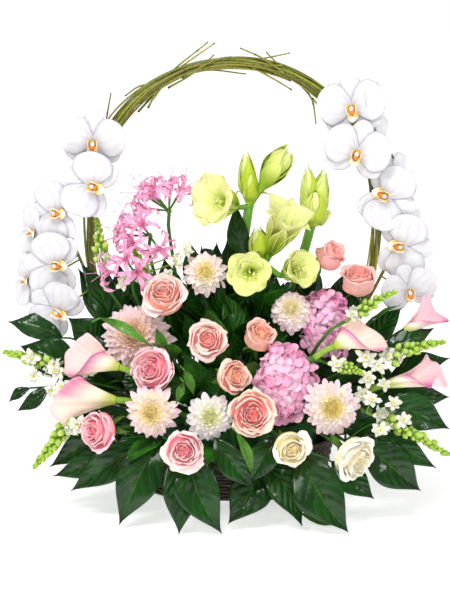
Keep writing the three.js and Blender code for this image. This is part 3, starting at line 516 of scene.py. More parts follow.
def rose(surface, origin, turn, radius, height, closed, tints, count, seed):
    """Petals in a spiral, rolled into a ragged heart and cupped outside, each with a rim that rolls back."""
    rng = np.random.default_rng(seed)
    heart, inside, outside, rim = tints
    vv, uu = np.meshgrid(np.linspace(0, 1, 17) ** 0.85, np.linspace(-1, 1, 16), indexing="ij")
    bowl = np.clip(vv / BOWL, 0, 1)
    core(surface, origin, turn, 0.8 * radius, height * mix(0.70, 0.8, closed), height * 0.36, mix(heart, inside, 0.4))
    for k in range(count):
        t = k / (count - 1)
        lean = t * (1 - closed)
        arc = radius * mix(0.015, 0.125, t**1.2) * rng.normal(1, 0.25)
        reach = radius * mix(0.05, 1.0, t ** mix(0.75, 0.5, closed)) * rng.normal(1, 0.06) - arc * t
        top = height * (0.93 + 0.07 * math.sin(math.pi * min(t / 0.6, 1)) - 0.34 * (1 - 0.8 * closed)
                        * smooth(t, 0.45, 1.0) + rng.normal(0, 0.03)) - 0.5 * arc
        corner = (0.08 + 0.08 * rng.random()) * mix(0.5, 1, t)
        r = reach * (1 - (1 - bowl) ** mix(2.4, 1.6, lean))
        r = r * (1 - 0.16 * closed * t * smooth(bowl, 0.45, 1.0)) * (1 - 0.6 * (1 - t) ** 6 * smooth(bowl, 0.5, 1.0))
        z = top * bowl ** mix(1.35, 1.15, lean) * (1 - corner * np.abs(uu) ** 2.2 * bowl)
        turn_back = mix(0.1, 1.9, t**1.1) * rng.normal(1, 0.3) * (1 + 0.3 * np.sin(3 * uu + k))
        bend = np.clip((vv - BOWL) / 0.20, 0, 1) * turn_back
        r = r + arc * (1 - np.cos(bend)) * 1.2
        z = z + arc * np.sin(bend)
        edge = smooth(vv, 0.5, 1.0)
        r = r + radius * (0.03 * uu + mix(0.04, 0.03, t) * edge * np.sin(mix(4, 6, t) * uu + 9 * rng.random()))
        r = r + radius * 0.014 * smooth(vv, 0.8, 1.0) * np.sin(15 * uu + 9 * rng.random())
        z = z + height * edge * (0.03 * np.sin(6 * uu + 9 * rng.random()) + 0.06 * t * (1 - np.abs(uu)) ** 2)
        spread = mix(1.25, 0.9, t) * (0.3 + 0.7 * np.sin(np.clip(vv / 0.75, 0, 1) * math.pi / 2))
        angle = k * GOLDEN + rng.normal(0, 0.35) + uu * spread * (1 - 0.15 * smooth(vv, 0.85, 1.0) * uu**2)
        off = radius * 0.12 * (1 - t)
        x = r * np.cos(angle) + off * math.cos(2.1 * k)
        y = r * np.sin(angle) + off * math.sin(2.1 * k)
        points = np.stack([x, y, z], -1)
        shade = mix(mix(heart, inside, smooth(t, 0.15, 0.5)), outside, smooth(t, 0.5, 0.95))
        shade = shade * rng.normal(1, 0.03)
        # deep: the lower part of each petal takes a deeper pink, which is partly the rose's own colour and partly
        # painted shade in the crevices between petals.
        deep = (1 - smooth(vv, 0.45, 0.9)) * mix(0.9, 0.7, t)
        pale = smooth(vv, 0.90, 1.0) * mix(0.38, 0.7, smooth(t, 0.2, 0.9))
        tint = tinted(tinted(shade, mix(heart, inside, 0.5 * t), deep), rim, pale)
        back = tinted(mix(shade, outside, 0.6), rim, 0.25 * smooth(vv, 0.3, 0.8) + 0.4 * pale)
        surface.sheet(place(points[:, ::-1], origin, turn), tint[:, ::-1], 0.4, back[:, ::-1])
    calyx(surface, origin, turn, radius, rng)


def calyx(surface, origin, turn, radius, rng):
    """The green knob under a rose and its five narrow sepals, some of which bend down."""
    surface.use("small_leaf")
    knob = place([0, 0, -0.22 * radius], origin, turn)
    bead(surface, knob, turn, 0.42 * radius, 0.2 * radius, GREEN, widest=0.6)
    for k in range(5):
        bend = (1.5, -0.6) if rng.random() < 0.45 else (-0.9, -1.2)
        points, _, vv = petal(radius * 1.05, radius * 0.26, lance(0.3, 0.7), bend, 0.2, rows=7, columns=2,
                              sway=rng.normal(0, 0.1))
        way = out_at(k * 2 * math.pi / 5 + 0.3, 0.15)
        surface.sheet(place(points, [0, 0, 0.02 * radius], way, origin, turn), tinted(GREEN, LIME, 0.5 * vv))
    surface.use("rose")


def roses():
    for i, (name, across, down, y, turn, lift, radius, tall, closed, *look) in enumerate(ROSES):
        axis = facing(turn, lift)
        depth = radius * tall * 1.16
        base = seen(across, down, y) - axis * depth / 2
        surface = Surface("rose")
        tints = [colour(code) for code in look[:4]]
        rose(surface, *frame_at(base, axis, 17 * i), radius, depth, closed, tints, look[4], i)
        surface.build(name + "_bloom", "rose_" + slot_of_rose(name), name)
        carried.append((bunch_of(across), base - axis * 0.22 * radius, axis, 2.6))


def slot_of_rose(name):
    if "white" in name:
        return "cream"
    return "peach" if name in ("rose_bud_middle", "rose_peach", "rose_high_right", "rose_right") else "pink"


# ---- Dahlias ---------------------------------------------------------------------------------------

DAHLIAS = [
    # name, across, down, y, turn, lift, radius, petals, width of a petal as a share of the radius, tip sharpness,
    # how far the outer ones bend back, colours: tip of the outer, outer, middle, heart
    ("dahlia_upper", 205, 272, -44, 0, 24, 39, 118, 0.30, 0.85, 0.35, "ffdce8", "fff8e4", "fff27c", "e4e63a"),
    ("dahlia_ball", 291, 309, -78, -8, 32, 38, 170, 0.28, 0.5, 0.65, "ffdcea", "fffae8", "fff8a8", "f0ee6c"),
    ("dahlia_large", 134, 335, -88, -6, 27, 63, 190, 0.24, 0.9, 0.30, "ffe8f2", "ffe0d4", "ffdca8", "ffcc50"),
    ("dahlia_left", 151, 413, -196, -2, 8, 47, 118, 0.24, 1.1, 0.45, "f8d0e6", "fff0dc", "fff096", "f4ce30"),
    ("dahlia_front", 210, 417, -184, 2, 12, 41, 104, 0.30, 0.65, 0.40, "f8e8f2", "fcfcf0", "f4f8a8", "bcd830"),
    ("dahlia_right", 332, 408, -176, 4, 10, 47, 150, 0.24, 0.5, 0.20, "ffd8e6", "fffcee", "fff45c", "dc9858"),
]


def dahlia(surface, origin, turn, radius, depth, count, width, sharp, back, tints, seed):
    """Petals by the golden angle, the lowest level or bent back and the highest closed over the heart."""
    rng = np.random.default_rng(seed)
    tip, outer, middle, heart = tints
    core(surface, origin, turn, 0.62 * radius, depth * 0.72, depth * 0.2, mix(middle, outer, 0.3))
    for k in range(count):
        t = k / (count - 1)
        azimuth = k * GOLDEN + rng.normal(0, 0.05)
        lift = mix(-0.25 * back, 1.4, t**1.15) + rng.normal(0, 0.05)
        length = radius * mix(0.80, 0.15, t**0.75) * rng.normal(1, 0.06)
        start = radius * 0.24 * (1 - t) ** 0.8
        rise = depth * mix(0.12, 0.66, t**0.8)
        bend = (mix(-0.3, 0.9, t), -back * (1 - t))
        points, uu, vv = petal(length, radius * width * mix(1.0, 0.36, t**0.9), lance(0.62, 0.5, sharp), bend,
                               fold=mix(0.36, 0.9, t), crease=-0.12, rows=8, columns=6)
        way = out_at(azimuth, lift, rng.normal(0, 0.12))
        foot = [start * math.cos(azimuth), start * math.sin(azimuth), rise]
        body = mix(mix(outer, middle, smooth(t, 0.35, 0.75)), heart, smooth(t, 0.82, 0.97))
        base = tinted(body, mix(middle, heart, 0.3), 0.5 * (1 - smooth(vv, 0.0, 0.45)))
        tint = tinted(base, tip, smooth(vv, 0.55, 1.0) * (1 - t) ** 0.6)
        tint = tint * (1 - 0.06 * np.cos(3 * math.pi * uu)[..., None] ** 2) * rng.normal(1, 0.03)
        surface.sheet(place(points, foot, way, origin, turn), tint, 0.35, tint * 0.97)
    surface.use("bud")
    bead(surface, place([0, 0, -0.05 * depth], origin, turn), turn, depth * 0.5, radius * 0.3, GREEN, widest=0.3)
    surface.use("dahlia")


def dahlias():
    for i, (name, across, down, y, turn, lift, radius, count, width, sharp, back, *look) in enumerate(DAHLIAS):
        axis = facing(turn, lift)
        depth = 0.66 * radius
        base = seen(across, down, y) - axis * depth / 2
        surface = Surface("dahlia")
        tints = [colour(code) for code in look]
        dahlia(surface, *frame_at(base, axis), radius, depth, count, width, sharp, back, tints, 40 + i)
        warm = name in ("dahlia_large", "dahlia_left")
        surface.build(name + "_bloom", "dahlia_peach" if warm else "dahlia_white", name)
        carried.append((bunch_of(across), base, axis, 3.0))


# ---- Hydrangeas ------------------------------------------------------------------------------------

HYDRANGEAS = [
    # name, across, down, y, turn, lift, half width, half height, florets, pale and deep colour
    ("hydrangea_front", 286, 382, -132, 6, 12, 48, 60, 76, "fdd6e8", "f8a4cc"),
    ("hydrangea_back", 326, 324, -58, 14, 20, 44, 56, 66, "fcd0e6", "f09ac6"),
]


def sepal_floret(surface, origin, turn, size, tint, rng):
    """Four broad sepals in a shallow cross, with a bead in the middle."""
    for k in range(4):
        points, uu, vv = petal(size * rng.normal(1, 0.1), size * 1.08, egg(0.6, 0.3),
                               (0.5, -0.95), -0.14, wave=0.06, waves=1.5, phase=6 * rng.random(), rows=6, columns=6)
        way = out_at(k * math.pi / 2 + rng.normal(0, 0.1), 0.16 + 0.12 * (k % 2), 0.15)
        veins = 1 - 0.08 * np.cos(2.5 * math.pi * uu) ** 2 * (1 - 0.5 * vv)
        shade = tinted(tint * 0.8, tint, smooth(vv, 0.0, 0.4)) * veins[..., None]
        surface.sheet(place(points, 0, way, origin, turn), shade, 0.3)
    bead(surface, origin, turn, size * 0.2, size * 0.1, tint * np.array([0.75, 0.8, 1.0]), sides=6, rows=4)


def hydrangeas():
    for i, (name, across, down, y, turn, lift, wide, tall, count, pale, deep) in enumerate(HYDRANGEAS):
        rng = np.random.default_rng(70 + i)
        axis = facing(turn, lift)
        middle = seen(across, down, y)
        origin, way = frame_at(middle, axis)
        half = np.array([wide, tall, 0.72 * wide])
        surface = Surface("hydrangea")
        for k in range(count):
            z = 1 - 1.62 * (k + 0.5) / count
            flat = math.sqrt(1 - z * z)
            out = np.array([flat * math.cos(k * GOLDEN), flat * math.sin(k * GOLDEN), z])
            lump = 1 + 0.05 * math.sin(5 * out[0] + 3 * out[1] + i) + rng.normal(0, 0.03)
            spot = out * (half - 8) * lump
            normal = unit(out / half + 0.3 * rng.standard_normal(3) / wide)
            tint = mix(colour(deep), colour(pale), np.clip(0.5 + rng.normal(0, 0.3), 0, 1.2))
            floret = frame_at(place(spot, origin, way), way @ normal, 90 * rng.random())
            sepal_floret(surface, *floret, 14.0 * rng.normal(1, 0.08), tint, rng)
            surface.use("stem")
            stem(surface, [middle - axis * half[2] * 0.5, place(spot * 0.6, origin, way), floret[0]], 1.0, 0.7,
                 GREEN * 0.8, 4, 4)
            surface.use("hydrangea")
        surface.build(name + "_head", "hydrangea", name)
        carried.append((bunch_of(across), middle - axis * half[2] * 0.5, axis, 3.2))


# ---- Orchids ---------------------------------------------------------------------------------------

# Each spray: its root in the foam, the way of its stem (mm), and each flower's place, turn, lift, roll and size.
ORCHIDS = {
    "orchid_spray_left": (
        (-106, -6), [(-158, 2, 220), (-224, 0, 330), (-262, 2, 430), (-258, 4, 500), (-214, 2, 568)], [
            (93, 142, -16, -2, -12, -4, 1.06), (91, 186, -34, 4, 2, 68, 1.08), (56, 213, -22, -22, 4, 88, 1.05),
            (55, 265, -36, -6, 0, 86, 1.08), (57, 311, -50, -8, -6, 54, 1.0), (32, 232, 2, -50, 6, 80, 0.86),
            (26, 280, -8, -56, 2, 84, 0.88)]),
    "orchid_spray_right": (
        (106, -6), [(164, 2, 220), (228, 0, 330), (266, 2, 430), (256, 4, 520), (206, 2, 604)], [
            (352, 108, -16, -12, 2, 8, 1.10), (357, 153, -34, -8, -2, -14, 1.08), (385, 196, -26, -8, 2, -114, 1.08),
            (401, 246, -32, -10, -2, -94, 1.08), (409, 291, -42, 8, -10, 16, 0.94), (376, 110, -4, 62, 8, -80, 0.86),
            (400, 178, 0, 60, 8, -84, 0.86), (416, 236, 0, 62, 4, -84, 0.86)]),
}
ORCHID_WHITE = colour("dad9dc")
# The grey of the petals' painted shade.
ORCHID_PAINTED_SHADE = colour("a8a6b4")


def orchid_flower(surface, origin, turn, size, rng):
    """Three sepals, two broad petals in front of them, and the cupped lip under its column."""
    def leafy(azimuth, length, width, outline, lift, rise, **shape):
        points, uu, vv = petal(length * size, width * size, outline, rows=14, columns=14, **shape)
        way = out_at(math.radians(azimuth), lift)
        veins = smooth(np.cos(13 * uu + 1.5 * np.sin(5 * vv)), 0.3, 1.0) * (1 - 0.6 * vv)
        # Painted shade: the petal greys along its faint veins, most at its base in the middle of the flower and along
        # its edges.
        shade = 0.28 * veins + 0.5 * (1 - smooth(vv, 0.0, 0.4)) + 0.25 * smooth(np.abs(uu), 0.86, 1.0)
        tint = tinted(ORCHID_WHITE, ORCHID_PAINTED_SHADE, np.clip(shade, 0, 1))
        points = place(points, [0, 0, rise * size], way, origin, turn)
        # Its underside is a painted shaded copy of the petal white.
        surface.sheet(points, tint, 0.5, mix(ORCHID_WHITE, ORCHID_PAINTED_SHADE, 0.35))

    for azimuth, length in ((90, 48), (213, 46), (327, 46)):
        leafy(azimuth, length, 35, egg(0.52, 0.4), 0.04, -2.5, bend=(0.1, -0.3), fold=-0.16,
              wave=0.05, phase=6 * rng.random())
    for side, azimuth in ((1, 15), (-1, 165)):
        leafy(azimuth, 50, 60, egg(0.52, 0.22), 0.13, 1.0, bend=(0.25, -0.6 + rng.normal(0, 0.15)),
              fold=-0.12, wave=0.07, waves=2, phase=6 * rng.random(), sway=0.06 * side)
    surface.use("lip")
    yellow, red, white = colour("fccc20"), colour("cc7420"), colour("f8f4ec")
    for side in (-1, 1):  # the side lobes stand up round the column and make a cup
        points, uu, vv = petal(17 * size, 19 * size, egg(0.6, 0.5), (0.7, 0.7), 0.35, rows=9, columns=8)
        way = rotation("z", math.radians(270 + 62 * side)) @ rotation("y", -0.45) @ rotation("x", 0.3 * side)
        stripes = smooth(np.cos(15 * uu), 0.0, 0.9) * (1 - smooth(vv, 0.25, 0.75))
        tint = tinted(tinted(yellow, white, smooth(vv, 0.3, 0.7)), red, 0.75 * stripes)
        tint = tinted(tint, yellow, 0.8 * smooth(vv, 0.8, 1.0) * smooth(side * uu, 0.2, 0.8))
        surface.sheet(place(points, [0, 0, 1.5 * size], way, origin, turn), tint, 0.5)
    points, uu, vv = petal(21 * size, 17 * size, lance(0.5, 0.5, 0.7), (1.0, -1.6), -0.3, rows=9, columns=8)
    tint = tinted(tinted(red, yellow, smooth(vv, 0.05, 0.35)), white, smooth(vv, 0.4, 0.8))
    tint = tinted(tint, yellow, 0.7 * smooth(np.abs(uu), 0.6, 1.0) * smooth(vv, 0.5, 0.9))
    way = out_at(math.radians(270), 0.35)
    surface.sheet(place(points, [0, -size, 2 * size], way, origin, turn), tint, 0.6)
    callus = place(np.array([0, -4.5, 5]) * size, origin, turn)
    bead(surface, callus, turn @ rotation("x", 0.6), 8 * size, 4.4 * size, colour("ec9a1c"), tip=red)
    surface.use("orchid")
    column = place(np.array([0, 2.5, 1]) * size, origin, turn)
    bead(surface, column, turn @ rotation("x", 0.5), 12 * size, 3.6 * size, ORCHID_WHITE, widest=0.7)


def orchids():
    brown = colour("6d6a2c")
    for i, (name, (root, way, flowers)) in enumerate(ORCHIDS.items()):
        rng = np.random.default_rng(90 + i)
        surface = Surface("orchid")
        path = [(*root, STEM_FOOT), (*root, FOAM_TOP + 10), *way]
        surface.use("stem")
        stem(surface, path, 3.6, 2.0, brown, 8, 60)
        line = curve(path, 80)
        for across, down, y, turn, lift, roll, size in flowers:
            axis = facing(turn, lift)
            origin, spin = frame_at(seen(across, down, y), axis, roll)
            surface.use("orchid")
            orchid_flower(surface, origin, spin, size, rng)
            nearest = line[np.argmin(np.linalg.norm(line - origin, axis=1))]
            behind = origin - axis * 2 * size
            surface.use("stem")
            stem(surface, [nearest, mix(nearest, behind, 0.5) - axis * 8 - [0, 0, 3], behind], 1.6, 1.9,
                 mix(brown, LIME, 0.4), 6, 6)
        surface.build(name + "_flowers", "orchid", name)


# ---- Nerines ---------------------------------------------------------------------------------------

NERINES = [
    # name, hub, then each floret's turn, lift and stalk length
    ("nerine_high", (169, 211, 2),
     [(52, 54, 34), (8, 64, 30), (-46, 46, 36), (-84, 34, 40), (-66, 10, 36), (-124, 36, 34)]),
    ("nerine_middle", (150, 236, -14), [(-70, 26, 34), (-100, 0, 34), (-36, -8, 30), (24, -22, 30), (-24, 40, 22)]),
    ("nerine_low", (134, 272, -40), [(-20, 40, 30), (-66, 4, 34), (14, 10, 22)]),
]


def nerine_floret(surface, origin, turn, stalk, rng):
    """Six narrow tepals that leave a slim trumpet and curl back, and three long stamens with dark ends."""
    pink, pale, deep = colour("f09ac4"), colour("fccce2"), colour("d8609c")
    surface.use("stem")
    stem(surface, [place([0, 0, stalk * share], origin, turn) for share in (0, 0.5, 0.8)], 1.4, 2.1, GREEN, 6, 4)
    surface.use("nerine")
    bead(surface, place([0, 0, stalk * 0.7], origin, turn), turn, stalk * 0.5, 3.2, pink, 8, 6, widest=0.8)
    for k in range(6):
        azimuth = k * math.pi / 3 + rng.normal(0, 0.2)
        points, uu, vv = petal(58 + rng.normal(0, 4), 7.2, lance(0.5, 0.5, 0.5),
                               (-0.9 + rng.normal(0, 0.2), -3.1 + rng.normal(0, 0.7)), 0.35,
                               wave=0.5, waves=4.0, phase=6 * rng.random(), rows=26, columns=4,
                               sway=rng.normal(0, 0.10))
        middle = np.exp(-(uu / 0.3) ** 2) * 0.45
        surface.sheet(place(points, [0, 0, stalk * 0.9], out_at(azimuth, 1.42), origin, turn),
                      tinted(tinted(pink, pale, vv * 0.7), deep, middle))
        if k % 2:
            continue
        start = np.array([0, 0, stalk])
        half = out_at(azimuth + 0.5, 1.35) @ np.array([20, 0, 0]) + start
        end = out_at(azimuth + 0.5, 1.15) @ np.array([44, 0, 0]) + start
        stem(surface, [place(p, origin, turn) for p in (start, half, end)], 0.6, 0.5, pink, 4, 6)
        bead(surface, place(end, origin, turn), turn @ rotation("x", k), 2.8, 0.8, colour("b0648e"), 5, 4)


def nerines():
    for i, (name, spot, florets) in enumerate(NERINES):
        rng = np.random.default_rng(110 + i)
        hub = seen(*spot)
        surface = Surface("nerine")
        for turn, lift, stalk in florets:
            nerine_floret(surface, *frame_at(hub, facing(turn, lift), turn * 3), stalk, rng)
        surface.use("bud")
        bead(surface, hub - [0, 0, 6], np.eye(3), 12, 4.5, GREEN)
        surface.build(name + "_head", "nerine", name)
        carried.append((bunch_of(spot[0]), hub - [0, 0, 5], np.array([0, 0, 1]), 3.0))


# ---- Amaryllis -------------------------------------------------------------------------------------

# Where each stem stands in the foam (mm), where its top is, its buds as turn, lift, length and radius, and the
# open blooms that it carries.
AMARYLLIS_STEMS = {
    "amaryllis_high": ((-24, 24), (249, 206, 20), [(-60, 86, 92, 15), (10, 72, 62, 11), (84, 56, 120, 21)],
                       ["amaryllis_bloom_high"]),
    "amaryllis_right": (
        (44, 26), (311, 226, 14), [(-60, 86, 102, 16), (74, 76, 98, 17), (10, 64, 72, 21), (84, 36, 46, 9)], []),
    "amaryllis_low": (
        (12, 40), (263, 262, -6), [(-80, 80, 62, 18)],
        ["amaryllis_bloom_middle", "amaryllis_bloom_front", "amaryllis_bloom_right"]),
}
AMARYLLIS_BLOOMS = {
    # base of the throat, turn, lift and roll, length, mouth radius, openness, how green, width and point of a tepal,
    # inner tepals
    "amaryllis_bloom_high": ((236, 206, -2), (-42, 16, 15), 60, 44, 1.0, 0.15, 0.80, 0.35, 0),
    "amaryllis_bloom_middle": ((270, 254, -30), (38, 56, -13), 90, 46, 0.85, 0.3, 0.50, 0.9, 0),
    "amaryllis_bloom_front": ((252, 270, -48), (-8, 4, 15), 46, 36, 0.35, 0.8, 0.74, 0.45, 5),
    "amaryllis_bloom_right": ((284, 274, -42), (34, 20, 15), 52, 31, 0.3, 0.7, 0.74, 0.45, 4),
}
AMARYLLIS_STEM = colour("68a030")
AMARYLLIS_PALE = colour("eeeca8")
AMARYLLIS_GREEN = colour("b8cc30")


LONG_BUD = 110  # mm


def amaryllis_bud(surface, origin, turn, length, radius):
    """A closed bud of overlapping tepals on its short stalk: a swollen core and the blades that wrap it. The longest
    ones stand on a thin stalk and are fat near their tips."""
    green, leaf = AMARYLLIS_GREEN, mix(AMARYLLIS_GREEN, AMARYLLIS_STEM, 0.6)
    tall = length > LONG_BUD
    neck, widest = (0.36, 0.80) if tall else (0.16 if radius > 10 else 0.3, 0.5)
    surface.use("amaryllis")
    if tall:
        stem(surface, [origin, origin + turn[:, 2] * length * 0.45], 4.6, 5.4, AMARYLLIS_STEM, 10, 6)
    low = length * (neck if tall else 0)
    bead(surface, origin + turn[:, 2] * low, turn, length * 0.95 - low, radius * 0.84, green, 14, 14,
         widest=(widest - neck) / (1 - neck) if tall else widest, tip=AMARYLLIS_PALE)
    v, u = np.meshgrid(np.linspace(0, 1, 19), np.linspace(-1, 1, 13), indexing="ij")
    for k in range(6):
        belly = np.sin(np.clip((v - neck) / (widest - neck), 0, 1) * math.pi / 2) ** 1.2
        close = np.cos(np.clip((v - widest) / (1.04 - widest), 0, 1) * math.pi / 2) ** 0.7
        r = radius * (0.24 + 0.76 * belly) * np.maximum(close, 0.30 if tall else 0.10)
        r = r * (0.98 + 0.02 * k + 0.06 * u + 0.06 * smooth(v, 0.85, 1.0))
        wide = 1.25 * np.clip(np.sin(np.clip(v, 0.02, 1) ** 0.6 * math.pi * 0.93 + 0.1), 0.04, 1)
        angle = k * 2.2 + u * wide + 0.7 * v
        reach = length * (1 - 0.03 * k)
        points = np.stack([r * np.cos(angle), r * np.sin(angle), reach * v * (1 - 0.05 * u * u)], -1)
        ribs = np.cos(9 * u) ** 2
        light = 0.25 + 0.3 * math.sin(2.0 * k)
        tint = tinted(green, AMARYLLIS_PALE, light * smooth(v, 0.3, 0.9) * (0.7 + 0.3 * ribs))
        tint = tinted(leaf, tint, smooth(v, neck, neck + 0.4))
        tint = tinted(tint, leaf, 0.5 * np.abs(u) ** 6 + 0.3 * smooth(v, 0.95, 1.0))
        surface.sheet(place(points[:, ::-1], origin, turn), tint[:, ::-1], 0.7)


def amaryllis_stems():
    for i, (name, (root, top, buds, blooms)) in enumerate(AMARYLLIS_STEMS.items()):
        surface = Surface("stem")
        top = seen(*top)
        mouth = np.array([*root, FOAM_TOP])
        foot = mouth - unit(top - mouth) * 45
        stem(surface, [foot, mix(foot, top, 0.5), top], 8.6, 7.6, AMARYLLIS_STEM, 16, 24)
        bead(surface, top - [0, 0, 5], np.eye(3), 11, 9.0, AMARYLLIS_STEM * 1.1, 12, 6)
        for turn, lift, length, radius in buds:
            axis = facing(turn, lift)
            amaryllis_bud(surface, *frame_at(top - axis * 4, axis, 40 * i), length, radius)
            surface.use("stem")
        for bloom in blooms:
            spot, (turn, lift, _), *_ = AMARYLLIS_BLOOMS[bloom]
            end = seen(*spot)
            stem(surface, [top, end - facing(turn, lift) * 12, end], 4.2, 4.4, AMARYLLIS_STEM, 10, 10)
        for k in range(2):  # the dry papery sheath under the flowers
            points, _, vv = petal(48, 15, lance(0.25, 0.7), (-0.3, -1.9), 0.5, wave=0.15, rows=10, columns=4)
            paper = tinted(colour("c9d08a"), colour("e9dfb8"), vv)
            surface.sheet(place(points, top, out_at(2.2 * k + i, 1.1)), paper)
        surface.build(name + "_stem", "amaryllis_stem", name)


def amaryllis_blooms():
    for i, (name, bloom) in enumerate(AMARYLLIS_BLOOMS.items()):
        spot, (turn, lift, roll), length, mouth, openness, greenness, wide, point, inner = bloom
        rng = np.random.default_rng(130 + i)
        origin, way = frame_at(seen(*spot), facing(turn, lift), roll)
        surface = Surface("amaryllis")
        pale = mix(AMARYLLIS_PALE, AMARYLLIS_GREEN, 0.35 * greenness)
        for k in range(6 + inner):
            outer = k % 2 == 0
            share = 1.0 if k < 6 else 0.62
            chord = math.atan2(length, mouth * share)
            reach = math.hypot(length, mouth * share) * 1.06 * mix(1, share, 0.5)
            curl = (-0.2 + 0.2 * openness, -0.7 - 0.7 * openness + rng.normal(0, 0.15))
            if k >= 6:
                curl = (0.3, -0.6 + rng.normal(0, 0.4))
            points, uu, vv = petal(reach * (1.0 if outer else 0.95), reach * wide * (1.0 if outer else 0.86) * share,
                                   lance(0.62, 0.26, point), curl, 0.26, crease=0.06, wave=0.10,
                                   waves=2, phase=6 * rng.random(), rows=16, columns=12)
            start = chord - curl[0] / 2 - curl[1] / 3
            azimuth = k * math.pi / 3 if k < 6 else k * 2 * math.pi / inner + 0.5
            points = place(points, [0, 0, 0.3 * outer], out_at(azimuth, start), origin, way)
            ribs = np.exp(-(uu / 0.14) ** 2) * 0.5 + 0.2 * np.cos(16 * uu) ** 2
            throat = 1 - smooth(vv, 0.15, 0.75)
            tint = tinted(pale, AMARYLLIS_GREEN, np.clip(ribs * 0.5 + throat * 0.9, 0, 1))
            tint = tinted(tint, AMARYLLIS_STEM * 1.4, 0.5 * (1 - smooth(vv, 0.0, 0.3)))
            surface.sheet(points, tint, 0.6)
        for k in range(7):  # six stamens and a longer style
            azimuth = k * math.pi / 3 + 0.4
            far = length * (0.80 if k < 6 else 0.92)
            end = np.array([0.22 * mouth * math.cos(azimuth), 0.22 * mouth * math.sin(azimuth) - 0.12 * mouth, far])
            points = place(np.array([NOWHERE, end * [1.2, 1.5, 0.5], end]), origin, way)
            stem(surface, points, 0.9, 0.7, mix(AMARYLLIS_PALE, AMARYLLIS_GREEN, 0.2), 5, 7)
            anther = place(end - [0, 0, 1], origin, way)
            bead(surface, anther, way @ rotation("x", 0.9 + k), 6.0, 1.3, colour("f0e8b8"), 6, 5)
        surface.use("bud")
        bead(surface, origin - way[:, 2] * 9, way, 13, 5.2, AMARYLLIS_STEM, 10, 6, widest=0.5)
        surface.build(name + "_open", "amaryllis", name)


# ---- Callas ----------------------------------------------------------------------------------------

CALLAS = {
    # the base of the spathe, then its rim from the throat round the near side, the tip and the far side, as places in
    # the photograph and the depth behind the base; which one is the tip, how far round the dark band runs, how pink
    "calla_left_high": ((119, 367, -132), [
        (103, 351, 0), (95, 353, -14), (89, 356, -20), (85, 361, -24), (80, 367, -24), (76, 372, -18), (70, 377, -8),
        (66, 374, 0), (63, 370, 6), (64, 364, 12), (64, 353, 18), (71, 346, 20), (76, 340, 22), (81, 337, 20),
        (86, 334, 16), (93, 339, 14), (98, 344, 10)], 6, 0.40, 0.55),
    "calla_left_low": ((116, 400, -147), [
        (88, 385, 6), (79, 378, -6), (71, 380, -14), (66, 384, -20), (60, 390, -26), (54, 398, -28), (48, 407, -26),
        (52, 415, -24), (58, 420, -20), (64, 422, -14), (70, 418, -4), (76, 411, 6), (80, 404, 14), (82, 396, 18),
        (86, 390, 14)], 4, 0.34, 0.3),
    "calla_right_inner": ((335, 346, -126), [
        (343, 327, 6), (348, 329, -6), (355, 334, -16), (361, 340, -22), (367, 345, -24), (373, 349, -20),
        (379, 351, -12), (385, 348, -4), (388, 345, 2), (387, 341, 8), (383, 335, 14), (376, 330, 18), (368, 326, 20),
        (362, 321, 20), (358, 316, 18), (353, 316, 16), (349, 322, 14)], 6, 0.40, 0.35),
    "calla_right_high": ((403, 333, -72), [
        (412, 321, 4), (421, 321, -10), (430, 320, -18), (439, 321, -20), (447, 322, -12), (449, 319, -2),
        (446, 316, 6), (441, 313, 12), (437, 311, 16), (434, 305, 18), (431, 297, 18), (424, 297, 16), (422, 304, 16),
        (419, 311, 14), (414, 317, 10)], 4, 0.42, 0.9),
    "calla_right_low": ((384, 385, -122), [
        (408, 374, 4), (415, 377, -8), (421, 381, -16), (426, 385, -20), (431, 388, -18), (433, 381, -10),
        (435, 376, -6), (439, 375, -2), (443, 380, -6), (447, 386, -8), (448, 382, 2), (445, 374, 10), (442, 367, 16),
        (438, 363, 18), (432, 361, 20), (428, 355, 18), (424, 361, 18), (419, 367, 16), (412, 372, 10)],
        4, 0.34, 0.75),
}
RIM_STEPS = 96


